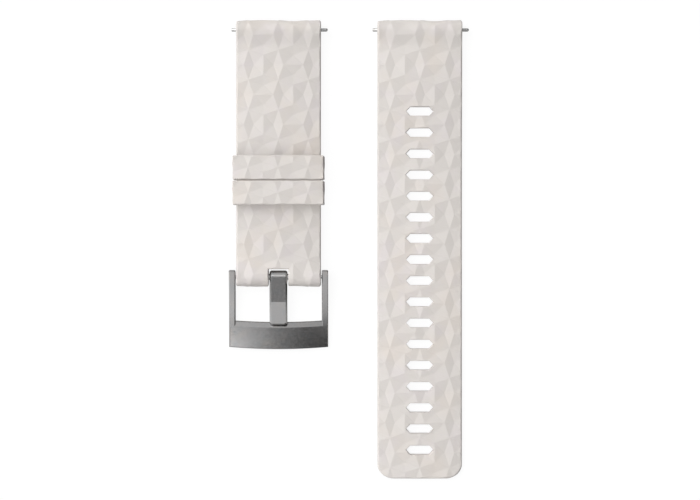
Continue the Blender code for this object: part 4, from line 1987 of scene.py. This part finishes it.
@dataclass(frozen=True)
class Coil:
    """A compression spring along X, whose turns close up at each ground end."""

    start: float
    end: float
    centre: Pair
    radius: float
    wire: float = 0.09 * MM
    pitch: float = 0.62 * MM
    closed_share: float = 0.08  # of the turns, at a ground end
    closed_pace: float = 0.3  # of the even pitch, in those turns
    ground_start: bool = True
    ground_end: bool = True
    steps_per_turn: int = 20
    wire_sides: int = 8

    @classmethod
    def from_node(cls, node: str) -> "Coil":
        """A coil as large as its CAD node.

        Args:
            node: The CAD node's name.

        Returns:
            The coil.
        """
        low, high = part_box(node)
        centre = (low + high) / 2
        return cls(low.x, high.x, (centre.y, centre.z), (high.y - low.y) / 2 - cls.wire)

    def half(self, facing: int) -> "Coil":
        """The part of this coil on one side of its middle.

        Args:
            facing: 1 for the side at +X, or -1.

        Returns:
            The half coil.
        """
        middle = (self.start + self.end) / 2
        start, end = (middle, self.end) if facing > 0 else (self.start, middle)
        return Coil(start, end, self.centre, self.radius, ground_start=facing < 0, ground_end=facing > 0)

    def _advance(self, share: float) -> float:
        """How far along the coil a share of its turns is, slower in the closed turns.

        Args:
            share: The share of its turns.

        Returns:
            The share of its length.
        """
        first = self.closed_share if self.ground_start else 0.0
        last = self.closed_share if self.ground_end else 0.0
        tight = self.closed_pace
        marks = [(0.0, 0.0), (first, first * tight), (1 - last, 1 - last * tight), (1.0, 1.0)]
        for (a, at_a), (b, at_b) in zip(marks, marks[1:]):
            if share <= b and b > a:
                return mix(at_a, at_b, (share - a) / (b - a))
        return 1.0

    def build(self, name: str) -> bpy.types.Object:
        """Sweeps the wire round the coil.

        Args:
            name: The piece's name.

        Returns:
            The new object.
        """
        first, last = self.start + self.wire, self.end - self.wire
        turns = max(round((last - first) / self.pitch), 2)
        count = turns * self.steps_per_turn
        shape = bmesh.new()
        rows = []
        for i in range(count + 1):
            turn = 2 * math.pi * turns * i / count
            radial = Vector((0.0, math.cos(turn), math.sin(turn)))
            middle = Vector((mix(first, last, self._advance(i / count)), *self.centre)) + radial * self.radius
            row = []
            for k in range(self.wire_sides):
                angle = 2 * math.pi * k / self.wire_sides
                offset = radial * math.cos(angle) + Vector((1, 0, 0)) * math.sin(angle)
                row.append(shape.verts.new(middle + offset * self.wire))
            rows.append(row)
        for before, after in zip(rows, rows[1:]):
            for k in range(self.wire_sides):
                j = (k + 1) % self.wire_sides
                shape.faces.new((before[k], before[j], after[j], after[k]))
        shape.faces.new(rows[0])
        shape.faces.new(reversed(rows[-1]))
        return new_piece(name, shape, sharp_angle=WIRE_ANGLE)


# Studio


@dataclass
class Studio:
    """A pale table, soft light from the left and a camera straight above.

    Each side's light fades over a span of the direction's X or Y.
    """

    view_width: float = 198.3 * MM
    distance: float = 0.6
    sensor: float = 36.0  # millimetres, as the camera has it
    aim: tuple[float, float, float] = (0.31 * MM, -0.16 * MM, 2.6 * MM)
    key_turn: float = math.radians(38)  # of the key light, from -X towards +Y
    key_height: float = math.radians(55)
    key_spread: float = math.radians(30)
    key_strength: float = 5.2
    left_strength: float = 0.75
    right_strength: float = 0.0
    side_span: Pair = (-0.35, 0.2)
    front_strength: float = 0.8
    front_span: Pair = (-0.28, -0.06)
    front_foot_share: float = 0.2  # of the front light, lowest down
    front_foot_span: Pair = (-0.75, -0.5)
    back_strength: float = 0.6
    back_span: Pair = (0.3, 0.8)
    table_half_size: float = 3.0
    table_drop: float = 0.01 * MM
    table_tone: float = 0.07
    table_roughness: float = 0.9
    table_glow: float = 0.93

    def build(self) -> None:
        """Builds the whole studio."""
        self.camera()
        self.table()
        self.room()
        bpy.context.scene.view_settings.view_transform = "Standard"

    def camera(self) -> None:
        """A long lens that looks straight down."""
        data = bpy.data.cameras.new("camera")
        data.sensor_width = self.sensor
        data.lens = self.sensor * self.distance / self.view_width
        camera = bpy.data.objects.new("camera", data)
        camera.location = Vector(self.aim) + Vector((0, 0, self.distance))
        bpy.context.scene.collection.objects.link(camera)
        bpy.context.scene.camera = camera

    def table(self) -> None:
        """A wide plain table top, which glows a little so that it stays pale under the dark side."""
        shape = bmesh.new()
        bmesh.ops.create_grid(shape, x_segments=1, y_segments=1, size=self.table_half_size)
        table = new_piece("table_top", shape)
        table.location.z = -self.table_drop
        paint = bpy.data.materials.new("pale table")
        paint.use_nodes = True
        shader = paint.node_tree.nodes["Principled BSDF"]
        shader.inputs["Base Color"].default_value = (*[self.table_tone] * 3, 1.0)
        shader.inputs["Roughness"].default_value = self.table_roughness
        shader.inputs["Specular IOR Level"].default_value = 0.0
        shader.inputs["Emission Color"].default_value = (1.0, 1.0, 1.0, 1.0)
        shader.inputs["Emission Strength"].default_value = self.table_glow
        table.data.materials.append(paint)
        table.visible_diffuse = False
        table.visible_glossy = False

    def room(self) -> None:
        """Light from the room: a soft key at the upper left, pale sides, and a dark right side."""
        world = bpy.data.worlds.new("room")
        world.use_nodes = True
        bpy.context.scene.world = world
        nodes = Nodes(world.node_tree)
        towards = nodes.add("TexCoord").outputs["Generated"]
        apart = nodes.add("SeparateXYZ", {0: towards})
        flat = math.cos(self.key_height)
        key = (-flat * math.cos(self.key_turn), flat * math.sin(self.key_turn), math.sin(self.key_height))
        nearness = nodes.add("VectorMath", {0: towards, 1: key}, operation="DOT_PRODUCT").outputs["Value"]
        across, along = apart.outputs["X"], apart.outputs["Y"]
        total = self._fade(nodes, nearness, (math.cos(self.key_spread), 1.0), (0.0, self.key_strength))
        side = self._fade(nodes, across, self.side_span, (self.left_strength, self.right_strength))
        front = self._fade(nodes, along, self.front_span, (self.front_strength, 0.0))
        foot = self._fade(nodes, along, self.front_foot_span, (self.front_foot_share, 1.0))
        back = self._fade(nodes, along, self.back_span, (0.0, self.back_strength))
        for light in (side, nodes.maths("MULTIPLY", front, foot), back):
            total = nodes.maths("ADD", total, light)
        background = world.node_tree.nodes["Background"]
        world.node_tree.links.new(total, background.inputs["Color"])

    @staticmethod
    def _fade(nodes: Nodes, value: Value, span: Pair, strengths: Pair) -> bpy.types.NodeSocket:
        """A smooth change between two strengths as the value goes over its span."""
        return nodes.ramp(value, span, strengths, form="SMOOTHSTEP")


def main() -> None:
    """Builds every sub-assembly round the frame, then the studio."""
    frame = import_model()
    logging.basicConfig(level=logging.INFO, format="%(name)s: %(message)s")
    dresser = Dresser(frame["joints"])
    parts = [
        BuckleStrap("strap_buckle_half", "buckle_half", "buckle_half_moulding"),
        TailStrap("strap_tail_half", "tail_half", "tail_half_moulding"),
        Keeper("upper_keeper", "upper_keeper_loop"),
        Keeper("lower_keeper", "lower_keeper_loop"),
        Buckle(),
        BuckleBar("buckle_bar", "buckle_half"),
        LugBar("buckle_lug", "buckle_half", release="buckle_lug_release"),
        LugBar("tail_lug", "tail_half", release="tail_lug_release"),
    ]
    for part in parts:
        part.dress(dresser)
    Studio().build()


if __name__ == "__main__":
    main()
